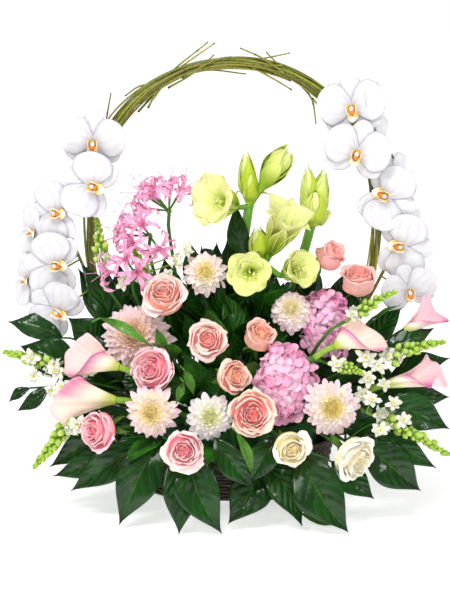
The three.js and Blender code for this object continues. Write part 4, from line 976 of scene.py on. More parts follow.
def callas():
    """Rolled spathes: tubes that open to a rim with a point on one side and a corner on the other."""
    cream, peach, rose_pink = colour("fff2da"), colour("fcd8c8"), colour("f6b8d0")
    magenta, green = colour("cc4c98"), colour("bcc850")
    for name, (spot, rim, tip, band, pink) in CALLAS.items():
        base = seen(*spot)
        rim = [seen(across, down, spot[2] + behind) for across, down, behind in rim]
        edge = curve(rim + rim[:1], RIM_STEPS)
        middle = edge[:-1].mean(0)
        axis = unit(middle - base)
        _, way = frame_at(base, axis)
        runs = np.cross(edge[:-1] - middle, edge[1:] - middle).sum(0) @ axis
        sense = -1 if runs < 0 else 1  # whether the rim runs against the axis or with it
        share = np.linspace(0, 1, RIM_STEPS + 1)
        height = (edge - base) @ axis
        out = edge - base - height[:, None] * axis
        wide = np.linalg.norm(out, axis=1)
        first = (edge[0] - middle) @ way
        angle = math.atan2(first[1], first[0]) + sense * 2 * math.pi * share
        ring = np.stack([np.cos(angle), np.sin(angle), 0 * angle], 1) @ way.T
        v = np.linspace(0, 1, 29)[:, None, None]
        low = base + 5.2 * ring
        half = base + axis * (0.55 * height)[:, None] + ring * mix(9.0, wide, 0.38)[:, None]
        points = (1 - v) ** 2 * low + 2 * v * (1 - v) * half + v**2 * edge
        away = np.abs(share - np.argmin(np.linalg.norm(edge - rim[tip], axis=1)) / RIM_STEPS)
        point = np.exp(-(np.minimum(away, 1 - away) / 0.07) ** 2)
        roll = np.clip((v - 0.86) / 0.14, 0, 1) ** 2 * (1 - point)[:, None]
        points = points + roll * (2.4 * out / np.maximum(wide, 1)[:, None] - 1.6 * axis)
        streak = (0.5 + 0.5 * np.cos(2 * math.pi * 21 * share + 1.6 * np.sin(15 * share)))[:, None]
        near = (1 - smooth(share, band - 0.06, band + 0.04))[:, None]
        cup = mix(green, cream, smooth(v, 0.04, 0.42))
        warm = mix(peach, rose_pink, pink)
        outside = mix(cup, warm, smooth(v, 0.25, 0.75) * (0.8 + 0.2 * streak) * (0.3 + 0.6 * pink))
        outside = mix(outside, magenta, smooth(v, 0.40, 1.0) ** 1.2 * (0.06 + 0.80 * near) * (0.85 + 0.15 * streak))
        outside = mix(outside, rose_pink * 0.95, 0.4 * smooth(v, 0.9, 1.0))
        inside = mix(cup, mix(cream, warm, 0.25 + 0.6 * pink), smooth(v, 0.2, 0.7))
        inside = mix(inside, warm * np.array([0.94, 0.84, 0.86]), 0.28 * streak**2 * smooth(v, 0.25, 0.7))
        inside = mix(inside, magenta, (0.85 * point[:, None] + 0.18 * pink) * smooth(v, 0.6, 1.0))
        surface = Surface("calla")
        surface.sheet(*[np.broadcast_to(g, points.shape)[:, ::sense] for g in (points, inside)], 0.8,
                      np.broadcast_to(outside, points.shape)[:, ::sense])
        surface.use("bud")
        bead(surface, base - axis * 7, way, 18, 5.6, mix(GREEN, LIME, 0.8), 10, 6)
        back = base - axis * 34 - [0, 0, 6]
        stem(surface, [back, base - axis * 16 - [0, 0, 1], base], 5.0, 5.2, mix(GREEN, LIME, 0.7), 10, 8)
        surface.build(name + "_spathe", "calla", name)
        carried.append((bunch_of(spot[0]), back, axis, 4.4))


# ---- Snapdragons -----------------------------------------------------------------------------------

SPIKES = [
    # name, base, tip, buds, open florets, size of a bud
    ("snapdragon_left_top", (104, 268, -22), (96, 216, -6), 30, 1, 11),
    ("snapdragon_upper_left", (152, 292, -28), (130, 244, -22), 30, 5, 11),
    ("snapdragon_left", (66, 374, -96), (4, 352, -84), 34, 4, 13),
    ("snapdragon_low_left", (80, 414, -146), (34, 468, -156), 40, 3, 13),
    ("snapdragon_upper_right", (345, 322, -112), (395, 292, -94), 36, 2, 11),
    ("snapdragon_right", (378, 360, -108), (445, 342, -112), 36, 4, 13),
    ("snapdragon_inner_right", (332, 366, -118), (362, 374, -148), 28, 1, 10),
    ("snapdragon_low_right", (366, 412, -146), (448, 455, -170), 42, 4, 14),
]
# Open florets on side stalks of a spike, by the spike: place in the photograph and depth.
SIDE_FLORETS = {
    "snapdragon_left": [(30, 358, -108), (34, 376, -112), (56, 371, -116), (52, 390, -118), (88, 372, -120)],
    "snapdragon_low_left": [(62, 388, -140), (77, 425, -176)],
    "snapdragon_upper_left": [(176, 262, -40), (168, 276, -46), (186, 250, -36), (124, 282, -50)],
    "snapdragon_right": [(366, 358, -132), (378, 366, -134), (368, 378, -138), (384, 384, -136), (362, 394, -142)],
    "snapdragon_low_right": [(372, 400, -160), (394, 404, -158), (380, 430, -176), (404, 420, -164)],
}

BUD_LIME = colour("9cc236")
FLORET_WHITE = colour("f2f2e2")
FLORET_SIZE = 14.5
SPIKE_STEPS = 40


def ruffled_floret(surface, origin, turn, size, rng):
    """A small white floret of ragged, pointed lobes in two rings, with a short tube and a yellow-green eye."""
    surface.use("floret")
    bead(surface, origin - turn[:, 2] * size * 0.55, turn, size * 0.75, size * 0.25,
         mix(colour("cfe088"), FLORET_WHITE, 0.3), 8, 5)
    for k in range(12):
        ring = k // 6
        points, uu, vv = petal(size * (1 - 0.34 * ring) * rng.normal(1, 0.12), size * 0.60,
                               lance(0.5, 0.3, 0.55), (0.5 + 0.4 * ring, -1.3 + rng.normal(0, 0.4)), -0.12,
                               wave=0.34, waves=2.6, phase=6 * rng.random(), rows=8, columns=5)
        tint = tinted(colour("dce27c"), FLORET_WHITE, smooth(vv, 0.05, 0.5))
        tint = tint * (1 - 0.10 * np.cos(4 * uu)[..., None] ** 4)
        way = out_at(k * math.pi / 3 + 0.5 * ring + rng.normal(0, 0.2), 0.35 + 0.55 * ring)
        surface.sheet(place(points, 0, way, origin, turn), tint, 0.3)
    bead(surface, origin, turn, size * 0.34, size * 0.15, colour("dcdc3c"), 7, 5)


def spikes():
    for i, (name, spot, end, buds, florets, fat) in enumerate(SPIKES):
        rng = np.random.default_rng(150 + i)
        bunch, base, tip = bunch_of(spot[0]), seen(*spot), seen(*end)
        surface = Surface("stem")
        line = curve([base, mix(base, tip, 0.5) + [0, 0, 4], tip], SPIKE_STEPS)
        surface.tube(turned(line, np.linspace(2.8, 1.0, SPIKE_STEPS + 1), 7), mix(GREEN, LIME, 0.5))
        along = unit(tip - base)
        _, across = frame_at(NOWHERE, along)
        count = buds + florets
        for k in range(count):
            share = (0.04 + 0.95 * k / count) ** 0.8
            spot = line[min(SPIKE_STEPS, int(share * SPIKE_STEPS))]
            angle = k * GOLDEN + rng.normal(0, 0.2)
            out = across @ unit(np.array([math.cos(angle), math.sin(angle), 0.6 + 1.4 * share]))
            neck = spot + out * mix(9, 2.0, share)
            surface.use("stem")
            stem(surface, [spot, spot + out * 3, neck], 1.0, 1.1, BUD_LIME * 0.8, 5, 3)
            origin, turn = frame_at(neck, unit(out + [0, -0.15, 0.1]), 60 * rng.random())
            if k < 2 * florets and k % 2:
                ruffled_floret(surface, origin, turn, FLORET_SIZE + rng.standard_normal(), rng)
                continue
            size = fat * mix(1.0, 0.42, share) * rng.normal(1, 0.14)
            surface.use("bud")
            bead(surface, origin - out, turn, size * 1.25, size * 0.46, BUD_LIME * (0.8 + 0.25 * rng.random()), 9, 8,
                 widest=0.5, ripple=0.07, tip=mix(BUD_LIME, colour("e8f0a0"), 0.7 * (1 - share)))
            points, _, _ = petal(size * 0.6, size * 0.42, lance(0.35, 0.6), (0.5, 0.6), 0.6, rows=4, columns=2)
            for side in range(3):  # the small green cup that holds the bud
                surface.sheet(place(points, 0, out_at(side * 2.1, 0.6), origin - out * 1.5, turn),
                              mix(GREEN, BUD_LIME, 0.5), 0.4)
        for spot in SIDE_FLORETS.get(name, []):
            spot = seen(*spot)
            root = line[np.argmin(np.linalg.norm(line - spot, axis=1))]
            out = unit(unit(spot - root) * 0.5 + [rng.normal(0, 0.1), -0.8, 0.35])
            origin, turn = frame_at(spot, out, 60 * rng.random())
            ruffled_floret(surface, origin, turn, FLORET_SIZE + rng.standard_normal(), rng)
            surface.use("stem")
            stem(surface, [root, mix(root, spot, 0.5) - out * 5, spot - out * 6], 1.3, 1.2, BUD_LIME * 0.8, 5, 6)
        surface.build(name + "_spike", "snapdragon", name)
        carried.append((bunch, base, along, 2.4))


# ---- Leaves ----------------------------------------------------------------------------------------

LEAF_DARK = colour("103e08")
LEAF_MID = colour("2c6a14")
LEAF_LIGHT = colour("5c9132")
LEAF_UP = np.array([0.0, -0.72, 0.70])  # the way that the leaves turn their upper faces
SIDE_VEINS = 9


def leaf_frame(origin, turn, lift):
    """The frame of a leaf: +X out along it, +Z off its upper face."""
    out = facing(turn, lift)
    across = unit(np.array([-out[1], out[0], 0]))
    return origin, np.stack([out, across, np.cross(out, across)], 1)


def blade(surface, base, tip, width, tint, rng, roll, arch, wave=0.05, rows=34, columns=12, quilt=0.0):
    """A leaf from its base to its tip, turned to the front and above, then rolled. arch lifts its middle, and quilt
    lifts the skin between the side veins (mm)."""
    chord = tip - base
    length = np.linalg.norm(chord)
    along = chord / length
    up = unit(LEAF_UP - along * (LEAF_UP @ along))
    across = np.cross(up, along)
    c, s = math.cos(roll), math.sin(roll)
    up, across = up * c + across * s, across * c - up * s
    even = np.linspace(0, 1, rows + 1)
    v = np.sin(even * math.pi / 2) ** 1.1
    vv, uu = np.meshgrid(v, np.linspace(-1, 1, columns + 1), indexing="ij")
    half = width / 2 * lance(0.46, 0.10, 1.35)(vv)
    ruffle = wave * width / 2 * np.sin(2 * math.pi * 2.5 * vv + 6 * rng.random() + uu) * np.abs(uu) ** 1.5
    veins = 0.5 - 0.5 * np.cos(2 * math.pi * (SIDE_VEINS * even[:, None] - 2.2 * np.abs(uu) + 0.2))
    swell = quilt * veins * np.minimum(1, 3.5 * np.abs(uu)) * (1 - uu**4) * np.sin(math.pi * vv) ** 0.5
    lift = arch * length * np.sin(math.pi * vv**0.85) + half * 0.18 * np.abs(uu) + ruffle * np.minimum(1, 3 * vv)
    sway = 0.05 * length * rng.standard_normal() * np.sin(math.pi * vv)
    points = base + vv[..., None] * chord + (lift + swell)[..., None] * up + (half * uu + sway)[..., None] * across
    shade = tint * rng.normal(1, 0.12)
    surface.sheet(points, shade, 0.6, mix(shade, LEAF_LIGHT, 0.5))


LOBES = 5
SPREAD = math.radians(33)
JOIN = 0.34  # the share of a lobe that is joined to its neighbours
WIDEST = 0.56  # the share of its length where a lobe is widest


def lobed_leaf(surface, origin, turn, length, rng):
    """Long pointed lobes from one palm, joined for the first third, each with its own midrib and a waved edge."""
    wide = length * 0.46

    def outline(v):
        wedge = v * length * math.tan(SPREAD / 2) / (wide / 2)
        belly = 0.25 + 0.75 * np.sin(np.clip(v / WIDEST, 0, 1) * math.pi / 2)
        tip = np.cos(np.clip((v - WIDEST) / 0.44, 0, 1) * math.pi / 2) ** 0.9
        free = belly * np.maximum(tip, 0.012)
        joined = np.minimum(wedge, free)
        return np.where(v < JOIN, joined, mix(joined, free, smooth(v, JOIN, 0.55)))

    for k in range(LOBES):
        step = k - (LOBES - 1) / 2
        reach = length * (1 - 0.045 * step * step) * rng.normal(1, 0.04)
        points, _, _ = petal(reach, wide, outline, (0.12, -0.75 + rng.normal(0, 0.12)), crease=0.16,
                             wave=0.07, phase=6 * rng.random(), rows=20, columns=8)
        way = rotation("z", step * SPREAD) @ rotation("x", rng.normal(0, 0.16))
        shade = LEAF_DARK * rng.normal(1, 0.12)
        surface.sheet(place(points, 0, way, origin, turn), shade, 0.6, mix(shade, LEAF_LIGHT, 0.45))


# The groups of large leaves: where the root stands, then where each of its stalks ends (mm). In the groups that the
# photograph doesn't show, a stalk ends in a lobed leaf, and these follow: the turn and lift of its middle lobe, and
# its length.
FOLIAGE = {
    "foliage_front": ((-6, -60), [(-86, -150, 108), (4, -166, 100), (90, -150, 108)]),
    "foliage_left": ((-106, -34), [(-172, -122, 112), (-214, -62, 174), (-234, -46, 246)]),
    "foliage_right": ((106, -34), [(172, -124, 110), (214, -66, 146), (214, -28, 232)]),
    "foliage_back": ((0, 62), [
        (-168, 62, 126, -106, -8, 122), (-68, 134, 106, -158, -26, 126), (68, 134, 106, 158, -26, 126),
        (168, 62, 126, 106, -8, 122)]),
    "foliage_upper": ((-40, 52), [
        (-112, 66, 250, -150, 62, 110), (0, 74, 300, 180, 74, 104), (112, 66, 246, 150, 62, 110)]),
}
# Oval leaves among the flowers, by the bunch that bears them: where the stalk ends, turn, lift and length.
MIDDLE_LEAVES = {
    "stems_left": [(-92, -96, 236, -20, 30, 84), (-112, -150, 128, -30, -14, 80), (-64, -12, 292, -110, 56, 78)],
    "stems_middle": [
        (-22, -66, 236, -30, 66, 84), (18, -88, 182, 10, 50, 80), (-16, -150, 118, -24, -10, 84),
        (40, -140, 122, 34, -8, 80)],
    "stems_right": [(136, -82, 174, 62, 40, 62), (128, -6, 262, 90, 62, 72), (196, -52, 262, 80, 40, 80)],
}
# Each large leaf that the photograph shows, by the group that bears it: base, tip, width, roll and arch.
BLADES = {
    "foliage_front": [
        ((160, 436, -165), (119, 525, -212), 66, 0.25, 0.12), ((176, 452, -190), (179, 537, -238), 56, 0.0, 0.10),
        ((188, 446, -190), (222, 534, -240), 66, -0.2, 0.12), ((262, 462, -165), (228, 524, -222), 64, 0.2, 0.10),
        ((214, 438, -196), (254, 489, -222), 42, -0.3, 0.08), ((274, 436, -190), (249, 484, -214), 44, 0.3, 0.12),
        ((262, 462, -172), (302, 526, -228), 56, 0.1, 0.10), ((300, 450, -186), (349, 533, -238), 74, -0.25, 0.12),
        ((332, 462, -160), (374, 499, -190), 46, -0.3, 0.10), ((150, 452, -120), (118, 490, -148), 44, 0.2, 0.08),
        ((240, 455, -150), (262, 508, -190), 50, 0.1, 0.10), ((205, 450, -150), (200, 508, -190), 50, 0.1, 0.10),
        ((300, 478, -120), (322, 507, -150), 44, 0.1, 0.08)],
    "foliage_left": [
        ((122, 428, -130), (50, 467, -142), 48, 0.35, 0.10), ((128, 440, -140), (53, 476, -152), 46, 0.2, 0.10),
        ((150, 438, -150), (71, 491, -168), 54, 0.3, 0.12), ((62, 338, -50), (8, 322, -50), 46, 0.0, 0.14),
        ((80, 372, -76), (20, 346, -66), 62, 0.2, 0.16), ((50, 386, -104), (17, 411, -110), 26, 0.1, 0.12),
        ((30, 388, -98), (9, 402, -100), 18, 0.1, 0.12), ((100, 350, -34), (68, 318, -40), 52, 0.1, 0.12),
        ((112, 346, -14), (80, 262, 0), 54, -0.2, 0.12), ((110, 400, -90), (64, 398, -100), 50, 0.2, 0.12),
        ((110, 330, 6), (78, 268, 10), 40, 0.2, 0.10), ((130, 330, -10), (108, 270, 4), 46, 0.2, 0.10),
        ((120, 380, -90), (92, 332, -70), 46, -0.2, 0.10), ((126, 388, -60), (46, 368, -56), 60, 0.1, 0.12),
        ((124, 402, -70), (56, 396, -72), 56, 0.3, 0.10), ((130, 372, -50), (74, 346, -46), 54, 0.0, 0.12),
        ((150, 420, -96), (92, 402, -92), 60, 0.1, 0.10), ((148, 440, -116), (98, 428, -112), 56, 0.2, 0.10),
        ((160, 396, -90), (116, 376, -80), 50, 0.1, 0.10)],
    "foliage_right": [
        ((362, 440, -160), (421, 491, -176), 66, -0.25, 0.12), ((372, 424, -140), (436, 468, -150), 40, -0.2, 0.10),
        ((380, 404, -124), (449, 429, -136), 58, -0.25, 0.12), ((384, 392, -108), (450, 397, -116), 44, -0.2, 0.12),
        ((380, 360, -84), (434, 328, -70), 46, 0.1, 0.14), ((392, 374, -74), (450, 358, -72), 42, 0.0, 0.10),
        ((370, 350, -60), (402, 308, -46), 46, 0.2, 0.12), ((374, 452, -120), (400, 480, -130), 40, -0.1, 0.10),
        ((326, 396, -60), (402, 376, -60), 60, -0.1, 0.12), ((330, 384, -50), (392, 348, -44), 54, 0.0, 0.12),
        ((334, 412, -70), (416, 402, -76), 60, -0.2, 0.12), ((346, 432, -90), (412, 426, -96), 54, -0.2, 0.12),
        ((312, 428, -96), (374, 420, -96), 60, -0.1, 0.10), ((338, 334, -30), (358, 288, -26), 46, 0.1, 0.10)],
    "foliage_upper": [
        ((192, 292, 8), (189, 241, 12), 36, 0.2, 0.08), ((203, 292, 4), (201, 246, 8), 30, -0.2, 0.08),
        ((222, 292, 6), (217, 242, 10), 34, 0.1, 0.08), ((232, 296, 0), (227, 240, 6), 38, -0.1, 0.08),
        ((150, 320, 6), (142, 258, 12), 48, 0.2, 0.10), ((128, 322, 10), (118, 262, 14), 44, -0.2, 0.10),
        ((172, 308, 10), (164, 258, 12), 44, 0.1, 0.10), ((252, 318, 4), (250, 268, 10), 40, 0.1, 0.10),
        ((268, 316, 0), (276, 272, 6), 42, -0.2, 0.10), ((306, 300, 10), (316, 262, 14), 38, 0.2, 0.10),
        ((338, 318, 8), (350, 268, 14), 40, 0.2, 0.10), ((300, 330, -20), (296, 284, -12), 40, 0.2, 0.10),
        ((246, 268, 12), (236, 202, 20), 36, 0.1, 0.08), ((210, 322, -8), (190, 280, -2), 40, 0.2, 0.08),
        ((196, 330, -14), (178, 286, -6), 40, 0.0, 0.08)],
}
# Light green leaves: where the stalk starts, base, tip, width, roll, arch.
LIGHT_BLADES = [
    ((286, 500, -160), (302, 514, -176), (345, 535, -200), 26, 0.0, 0.06),
    ((230, 424, -200), (236, 432, -236), (253, 478, -240), 16, 0.2, 0.06),
    ((92, 322, -80), (100, 318, -116), (153, 348, -152), 15, -0.4, 0.10),
    ((180, 366, -140), (184, 370, -156), (194, 396, -172), 16, 0.3, 0.06),
    ((170, 360, -110), (166, 352, -122), (156, 328, -126), 18, 0.3, 0.06),
    ((180, 378, -150), (184, 382, -160), (176, 404, -180), 13, 0.3, 0.06),
]
LOWEST = 2.5  # how near the floor a leaf's tip comes, mm


def above_floor(point):
    return np.array([point[0], point[1], max(point[2], LOWEST)])


def foliage():
    for i, (name, (root, leaves)) in enumerate(FOLIAGE.items()):
        rng = np.random.default_rng(200 + i)
        surface = Surface("leaf")
        mouth = np.array([*root, FOAM_TOP + 4])
        for x, y, z, *lobes in leaves:
            palm = np.array([x, y, z])
            surface.use("stem")
            stem(surface, [(*root, STEM_FOOT), mouth, mix(mouth, palm, 0.5) + [0, 0, 8], palm], 3.2, 2.2,
                 LEAF_MID, 8, 16)
            surface.use("leaf")
            if lobes:
                turn, lift, length = lobes
                lobed_leaf(surface, *leaf_frame(palm, turn, lift), length * 0.92, rng)
        for base, tip, width, roll, arch in BLADES.get(name, []):
            base = seen(*base)
            surface.use("leaf")
            blade(surface, base, above_floor(seen(*tip)), width, LEAF_DARK, rng, roll, arch, quilt=2.4)
            surface.use("stem")
            palms = [np.array(leaf[:3]) for leaf in leaves]
            palm = min(palms, key=lambda palm: np.linalg.norm(palm - base))
            stem(surface, [palm, mix(palm, base, 0.6) + [0, 0, 3], base], 2.0, 1.6, LEAF_MID, 6, 6)
        if name == "foliage_front":
            for start, base, tip, width, roll, arch in LIGHT_BLADES:
                start, base = seen(*start), seen(*base)
                surface.use("small_leaf")
                blade(surface, base, above_floor(seen(*tip)), width, LEAF_LIGHT, rng, roll, arch, quilt=0.8)
                surface.use("stem")
                stem(surface, [start, mix(start, base, 0.5), base], 1.6, 1.4, LEAF_LIGHT, 6, 5)
        surface.build(name + "_leaves", "leaf", name)


THICKET = {"x": 186, "y": 104, "z": 236, "from": 108, "leaves": 150}  # a dome of dark leaves behind the blooms


def thicket():
    """Dark oval leaves that fill the arrangement between and behind the blooms, and its back."""
    rng = np.random.default_rng(400)
    surface = Surface("small_leaf")
    for k in range(THICKET["leaves"]):
        share = (k + 0.5) / THICKET["leaves"]
        z = share ** 0.8
        flat = math.sqrt(max(0.0, 1 - z * z))
        angle = k * GOLDEN
        out = np.array([flat * math.cos(angle), flat * math.sin(angle), z])
        spot = out * [THICKET[axis] for axis in "xyz"] * (0.80 + 0.12 * rng.random()) + [0, 0, THICKET["from"]]
        way = unit(out * [0.8, 0.8, 0.6] + [0, 0, 0.35] + 0.35 * rng.standard_normal(3))
        length = 66 + 22 * rng.random()
        tip = spot + way * length * 0.55
        base = spot - way * length * 0.45
        tint = mix(LEAF_DARK, LEAF_MID, 0.6 * rng.random())
        roll = 2.6 * (rng.random() - 0.5) + (math.pi if out[1] > 0.2 else 0)
        blade(surface, base, tip, length * 0.5, tint, rng, roll, 0.1, wave=0.04, rows=13, columns=8)
        if k % 5 == 0:
            surface.use("stem")
            root = np.array([0.3 * out[0] * 150, 0.3 * out[1] * 80, FOAM_TOP - 4])
            stem(surface, [root, mix(root, base, 0.5) + [0, 0, 10], base], 1.8, 1.3, LEAF_MID, 6, 8)
            surface.use("small_leaf")
    surface.build("thicket", "leaf")


def bunches():
    """The thin stems of each third of the arrangement, with the leaves that they bear."""
    for i, (name, root) in enumerate(BUNCHES.items()):
        rng = np.random.default_rng(220 + i)
        surface = Surface("stem")
        mine = [one for one in carried if one[0] == name]
        for k, (_, base, axis, thick) in enumerate(mine):
            ring = 5.5 * math.sqrt((k + 0.5) / len(mine))
            foot = np.array([root[0] + ring * math.cos(k * GOLDEN), root[1] + ring * math.sin(k * GOLDEN), STEM_FOOT])
            near = base - axis * 30
            mouth = foot + [0, 0, 46]
            stem(surface, [foot, mouth, mix(mouth, near, 0.55) + [0, 0, 6], near, base], thick * 0.85, thick,
                 mix(GREEN, LEAF_MID, rng.random()), 8, 22)
        for x, y, z, turn, lift, length in MIDDLE_LEAVES[name]:
            end = np.array([x, y, z])
            mouth = np.array([*root, FOAM_TOP + 6])
            surface.use("stem")
            stem(surface, [mouth, mix(mouth, end, 0.5) + [0, 0, 6], end], 2.0, 1.6, LEAF_MID, 6, 12)
            surface.use("small_leaf")
            points, _, _ = petal(length, length * 0.52, lance(0.42, 0.12), (0.25, -0.5), crease=0.22, wave=0.05,
                                 waves=2, phase=6 * rng.random(), rows=14, columns=8, sway=rng.normal(0, 0.06))
            surface.sheet(place(points, *leaf_frame(end, turn, lift)), LEAF_MID, 0.5, mix(LEAF_MID, LEAF_LIGHT, 0.5))
        surface.build(name + "_bunch", "stem", name)


# ---- Twig arch -------------------------------------------------------------------------------------

ARCH = {"centre": 451, "radius": 229, "depth": 25, "bundle": 10.5, "foot": (112, 24), "twigs": 22}
TWIG = colour("a09a22")
TWIG_GREEN = colour("78862a")
TWIG_DARK = colour("3c2c16")
TWIG_BROWN = colour("6e5420")
LOOSE_TWIGS = [
    # from the bundle, on the way, tip
    [(148, 108, 25), (165, 78, 22), (208, 42, 18)], [(152, 100, 26), (175, 72, 30), (215, 43, 32)],
    [(168, 88, 25), (192, 74, 20), (214, 55, 18)], [(160, 84, 27), (140, 86, 27), (125, 96, 27)],
    [(215, 66, 26), (255, 60, 32), (290, 53, 36)], [(230, 64, 25), (260, 66, 18), (285, 65, 14)],
    [(320, 100, 26), (290, 76, 32), (266, 52, 36)], [(250, 66, 24), (272, 78, 16), (292, 90, 12)],
    [(312, 98, 24), (320, 108, 18), (324, 117, 14)], [(104, 150, 26), (106, 122, 22), (111, 93, 20)],
    [(170, 78, 28), (205, 70, 34), (246, 74, 32)], [(236, 60, 20), (290, 76, 12), (322, 98, 16)],
    [(182, 78, 16), (222, 58, 12), (262, 62, 18)], [(300, 84, 34), (312, 100, 36), (316, 124, 34)],
    [(138, 112, 34), (172, 76, 36), (200, 62, 30)], [(286, 74, 14), (262, 58, 10), (240, 48, 14)],
]


def arch_line():
    """The middle line of the arch from the right foot over to the left one."""
    (x, y), depth, radius = ARCH["foot"], ARCH["depth"], ARCH["radius"]
    side = [(x - 24, y, STEM_FOOT), (x, y, FOAM_TOP), (176, depth, 220), (222, depth, 330)]
    bow = [(radius * math.cos(a), depth, ARCH["centre"] + radius * math.sin(a))
           for a in np.radians(np.arange(0, 181, 15))]
    return curve(side + bow + [(-x, y, z) for x, y, z in reversed(side)], 240)


def twig(surface, line, thick, thin, rng):
    """A shoot with a dark swelling at each node, and dark cut ends."""
    steps = len(line) - 1
    length = np.linalg.norm(np.diff(line, axis=0), axis=1).sum()
    at = np.linspace(0, length, steps + 1)
    gap = 60 + 30 * rng.random()
    near = np.abs((at + gap * rng.random()) % gap - gap / 2)
    knot = np.exp(-(near / 1.9) ** 2)
    radius = np.linspace(thick, thin, steps + 1) * (1 + 0.25 * knot)
    base = mix(mix(TWIG, TWIG_GREEN, rng.random()), TWIG_BROWN, max(0.0, rng.random() - 0.55))
    base = base * (0.55 + 0.6 * rng.random())
    end = np.maximum(smooth(at, 6, 2), smooth(at, length - 5, length - 1))
    tint = mix(base, TWIG_DARK, np.clip(0.7 * knot + end, 0, 1)[:, None, None])
    surface.tube(turned(line, radius, 8), np.broadcast_to(tint, (steps + 1, 8, 3)))


def twig_arch():
    rng = np.random.default_rng(300)
    surface = Surface("twig")
    line = arch_line()
    tangent = tangents(line)
    side = np.array([0, 1, 0])
    steps = len(line) - 1
    share = np.linspace(0, 1, steps + 1)
    swell = ARCH["bundle"] * (0.60 + 0.42 * smooth(np.sin(math.pi * share), 0.25, 0.95))
    for k in range(ARCH["twigs"]):
        from_left = k % 2
        start = 0.0 if k < 5 or k % 3 == 0 else 0.20 + 0.12 * rng.random()
        stop = 1.0 if k < 5 else 0.56 + 0.28 * rng.random()
        cut = slice(int(start * steps), int(stop * steps) + 1)
        own, way, wide = [g[::-1][cut] if from_left else g[cut] for g in (line, tangent, swell)]
        r = wide * (0.20 + 0.68 * math.sqrt((k + 0.5) / ARCH["twigs"]))
        along = np.linspace(start, stop, len(own))
        r = r + 9 * smooth(along, stop - 0.08, stop) * (stop < 1) * rng.random()
        angle = k * GOLDEN + 2.6 * along * (1 if from_left else -1) + 1.2 * np.sin(9 * along + 6 * rng.random())
        other = np.cross(way, side)
        wobble = 1.6 * np.sin(20 * along * (1 + 0.5 * rng.random()) + 6 * rng.random())
        own = own + side * (r * np.cos(angle) + wobble)[:, None] + other * (r * np.sin(angle) + wobble)[:, None]
        twig(surface, own, 2.1, 1.4, rng)
    for points in LOOSE_TWIGS:
        twig(surface, curve([seen(*p) for p in points], 40), 1.9, 1.1, rng)
    surface.build("twig_arch_bundle", "twig", "twig_arch")


# ---- Basket ----------------------------------------------------------------------------------------

BASKET = {"length": 150, "width": 92, "height": 88, "flare": 1.1, "stakes": 36, "courses": 15}
BLUNT = 0.8


def oval(inset, share, angle, z):
    """Points round the basket, an inset in from its wall, for a share of its size, at a height."""
    c, s = np.cos(angle), np.sin(angle)
    x = (BASKET["length"] * share - inset) * np.sign(c) * np.abs(c) ** BLUNT
    y = (BASKET["width"] * share - inset) * np.sign(s) * np.abs(s) ** BLUNT
    return np.stack([x, y, z + 0 * x], -1)


def basket():
    """Weavers that pass before and behind upright stakes, a braided rim, and a flat bottom."""
    surface = Surface("wicker")
    brown, dark = colour("3e2c1e"), colour("22180f")
    height, stakes, courses = BASKET["height"], BASKET["stakes"], BASKET["courses"]
    angle = np.linspace(0, 2 * math.pi, 8 * stakes + 1)

    def grown(z):
        return 1 + (BASKET["flare"] - 1) * z / height

    for k in range(courses):
        z = 4 + (height - 8) * k / (courses - 1)
        weave = 1.7 * np.cos(stakes * angle + math.pi * (k % 2))
        line = oval(3.6 - weave, grown(z), angle, z)
        surface.tube(turned(line, np.full(len(angle), 2.9), 6), mix(brown, dark, 0.5 + 0.5 * math.sin(9 * k)))
    for k in range(stakes):
        at = math.pi * (2 * k + 1) / stakes
        stem(surface, [oval(4.2, grown(z), at, z) for z in np.linspace(3, height - 3, 5)], 2.0, 2.0, dark, 6, 8)
    for phase in (0, 2.1, 4.2):  # three rods twisted into the rim
        twist = 40 * angle + phase
        line = oval(3.6 - 1.8 * np.cos(twist), BASKET["flare"], angle, height - 4 + 1.8 * np.sin(twist))
        surface.tube(turned(line, np.full(len(angle), 2.1), 6), brown)
    bottom = ((0.02, 6.0), (0.5, 6.0), (0.97, 6.0), (0.99, 3.0), (0.97, 0.0), (0.5, 0.0), (0.02, 0.0))
    surface.tube(np.stack([oval(0, share, angle[:-1], z) for share, z in bottom])[:, ::-1], dark)
    surface.build("basket_wicker", "wicker", "basket")


# ---- Floor, light and assembly ---------------------------------------------------------------------


def aim(way):
    """The turn that points a lamp's -Z along a direction."""
    way = unit(way)
    return (math.acos(-way[2]), 0, math.atan2(-way[0], way[1]))


FLOOR_REACH = 60.0  # m
FLOOR_GLOW = 0.5, 2.5, 0.54, 0.90  # the stretch (m) over which the floor's own light grows, and from and to what
SKY = [  # height in the sky and its light
    (0.03, (1, 1, 1)), (0.08, (0.14, 0.14, 0.145)), (0.5, (0.14, 0.14, 0.14)), (0.72, (0.3, 0.3, 0.3)),
    (1.0, (0.4, 0.4, 0.4)),
]
LAMPS = [
    # name, where it hangs (m), edge of its square (m), power (W)
    ("key", (-1.1, -1.5, 2.1), 0.38, 17), ("front", (0.3, -2.7, 0.9), 1.4, 17), ("side", (1.6, -1.3, 1.5), 0.3, 5),
    ("top", (-0.35, -1.3, 2.4), 0.9, 25), ("back_left", (-1.9, 0.9, 1.0), 0.9, 12),
    ("back_right", (1.9, 0.9, 1.0), 0.9, 12),
]


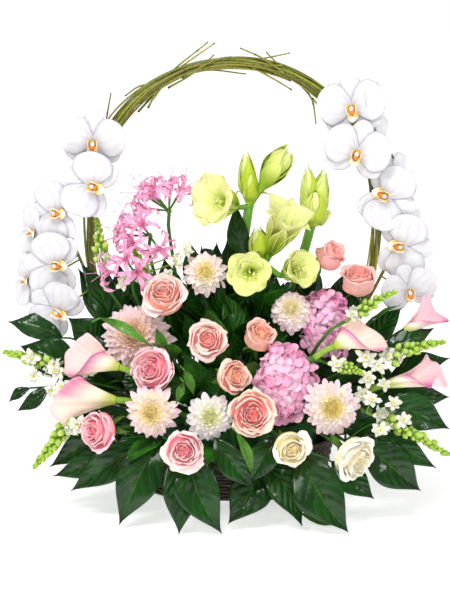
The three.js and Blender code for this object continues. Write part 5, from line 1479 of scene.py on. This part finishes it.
def studio():
    """A white floor without an edge in sight, which glows further off, a dim room and soft lamps."""
    floor = bpy.data.meshes.new("floor")
    corners = [(x * FLOOR_REACH, y * FLOOR_REACH, 0) for x, y in ((-1, -1), (1, -1), (1, 1), (-1, 1))]
    floor.from_pydata(corners, [], [(0, 1, 2, 3)])
    board = bpy.data.objects.new("floor", floor)
    bpy.context.scene.collection.objects.link(board)
    paper = Nodes("paper")
    grain = paper.noise(paper.solid(), 40.0, 2)
    floor.materials.append(paper.finish((0.9, 0.9, 0.905, 1), grain, 0.02, 0.0005, Roughness=0.8,
                                        Specular_IOR_Level=0.1, Emission_Color=(1, 1, 1, 1)))
    far_off = paper.node("VectorMath", {0: paper.solid()}, operation="LENGTH").outputs["Value"]
    paper.link(paper.remap(far_off, *FLOOR_GLOW), paper.shader.inputs["Emission Strength"])
    world = bpy.data.worlds.new("studio")
    world.use_nodes = True
    tree = world.node_tree
    spot_in_sky, axes, ramp = [tree.nodes.new("ShaderNode" + kind)
                               for kind in ("TexCoord", "SeparateXYZ", "ValToRGB")]
    tree.links.new(spot_in_sky.outputs["Generated"], axes.inputs[0])
    tree.links.new(axes.outputs[2], ramp.inputs["Fac"])
    stops = ramp.color_ramp.elements
    for k, (height, light) in enumerate(SKY):
        stop = stops[k] if k < 2 else stops.new(height)
        stop.position, stop.color = height, (*light, 1)
    tree.links.new(ramp.outputs["Color"], tree.nodes["Background"].inputs["Color"])
    bpy.context.scene.world = world
    for name, spot, size, power in LAMPS:
        data = bpy.data.lights.new(name, "AREA")
        data.size = size
        data.energy = power
        lamp = bpy.data.objects.new(name, data)
        lamp.location = spot
        lamp.rotation_euler = aim(np.array([0, 0, 0.3]) - np.array(spot))
        lamp.visible_glossy = name != "front"  # the front lamp only opens the shadows
        bpy.context.scene.collection.objects.link(lamp)
    bpy.context.scene.view_settings.view_transform = "Standard"


camera()
materials()
roses()
dahlias()
hydrangeas()
orchids()
nerines()
amaryllis_blooms()
amaryllis_stems()
callas()
spikes()
foliage()
bunches()
thicket()
twig_arch()
basket()
studio()
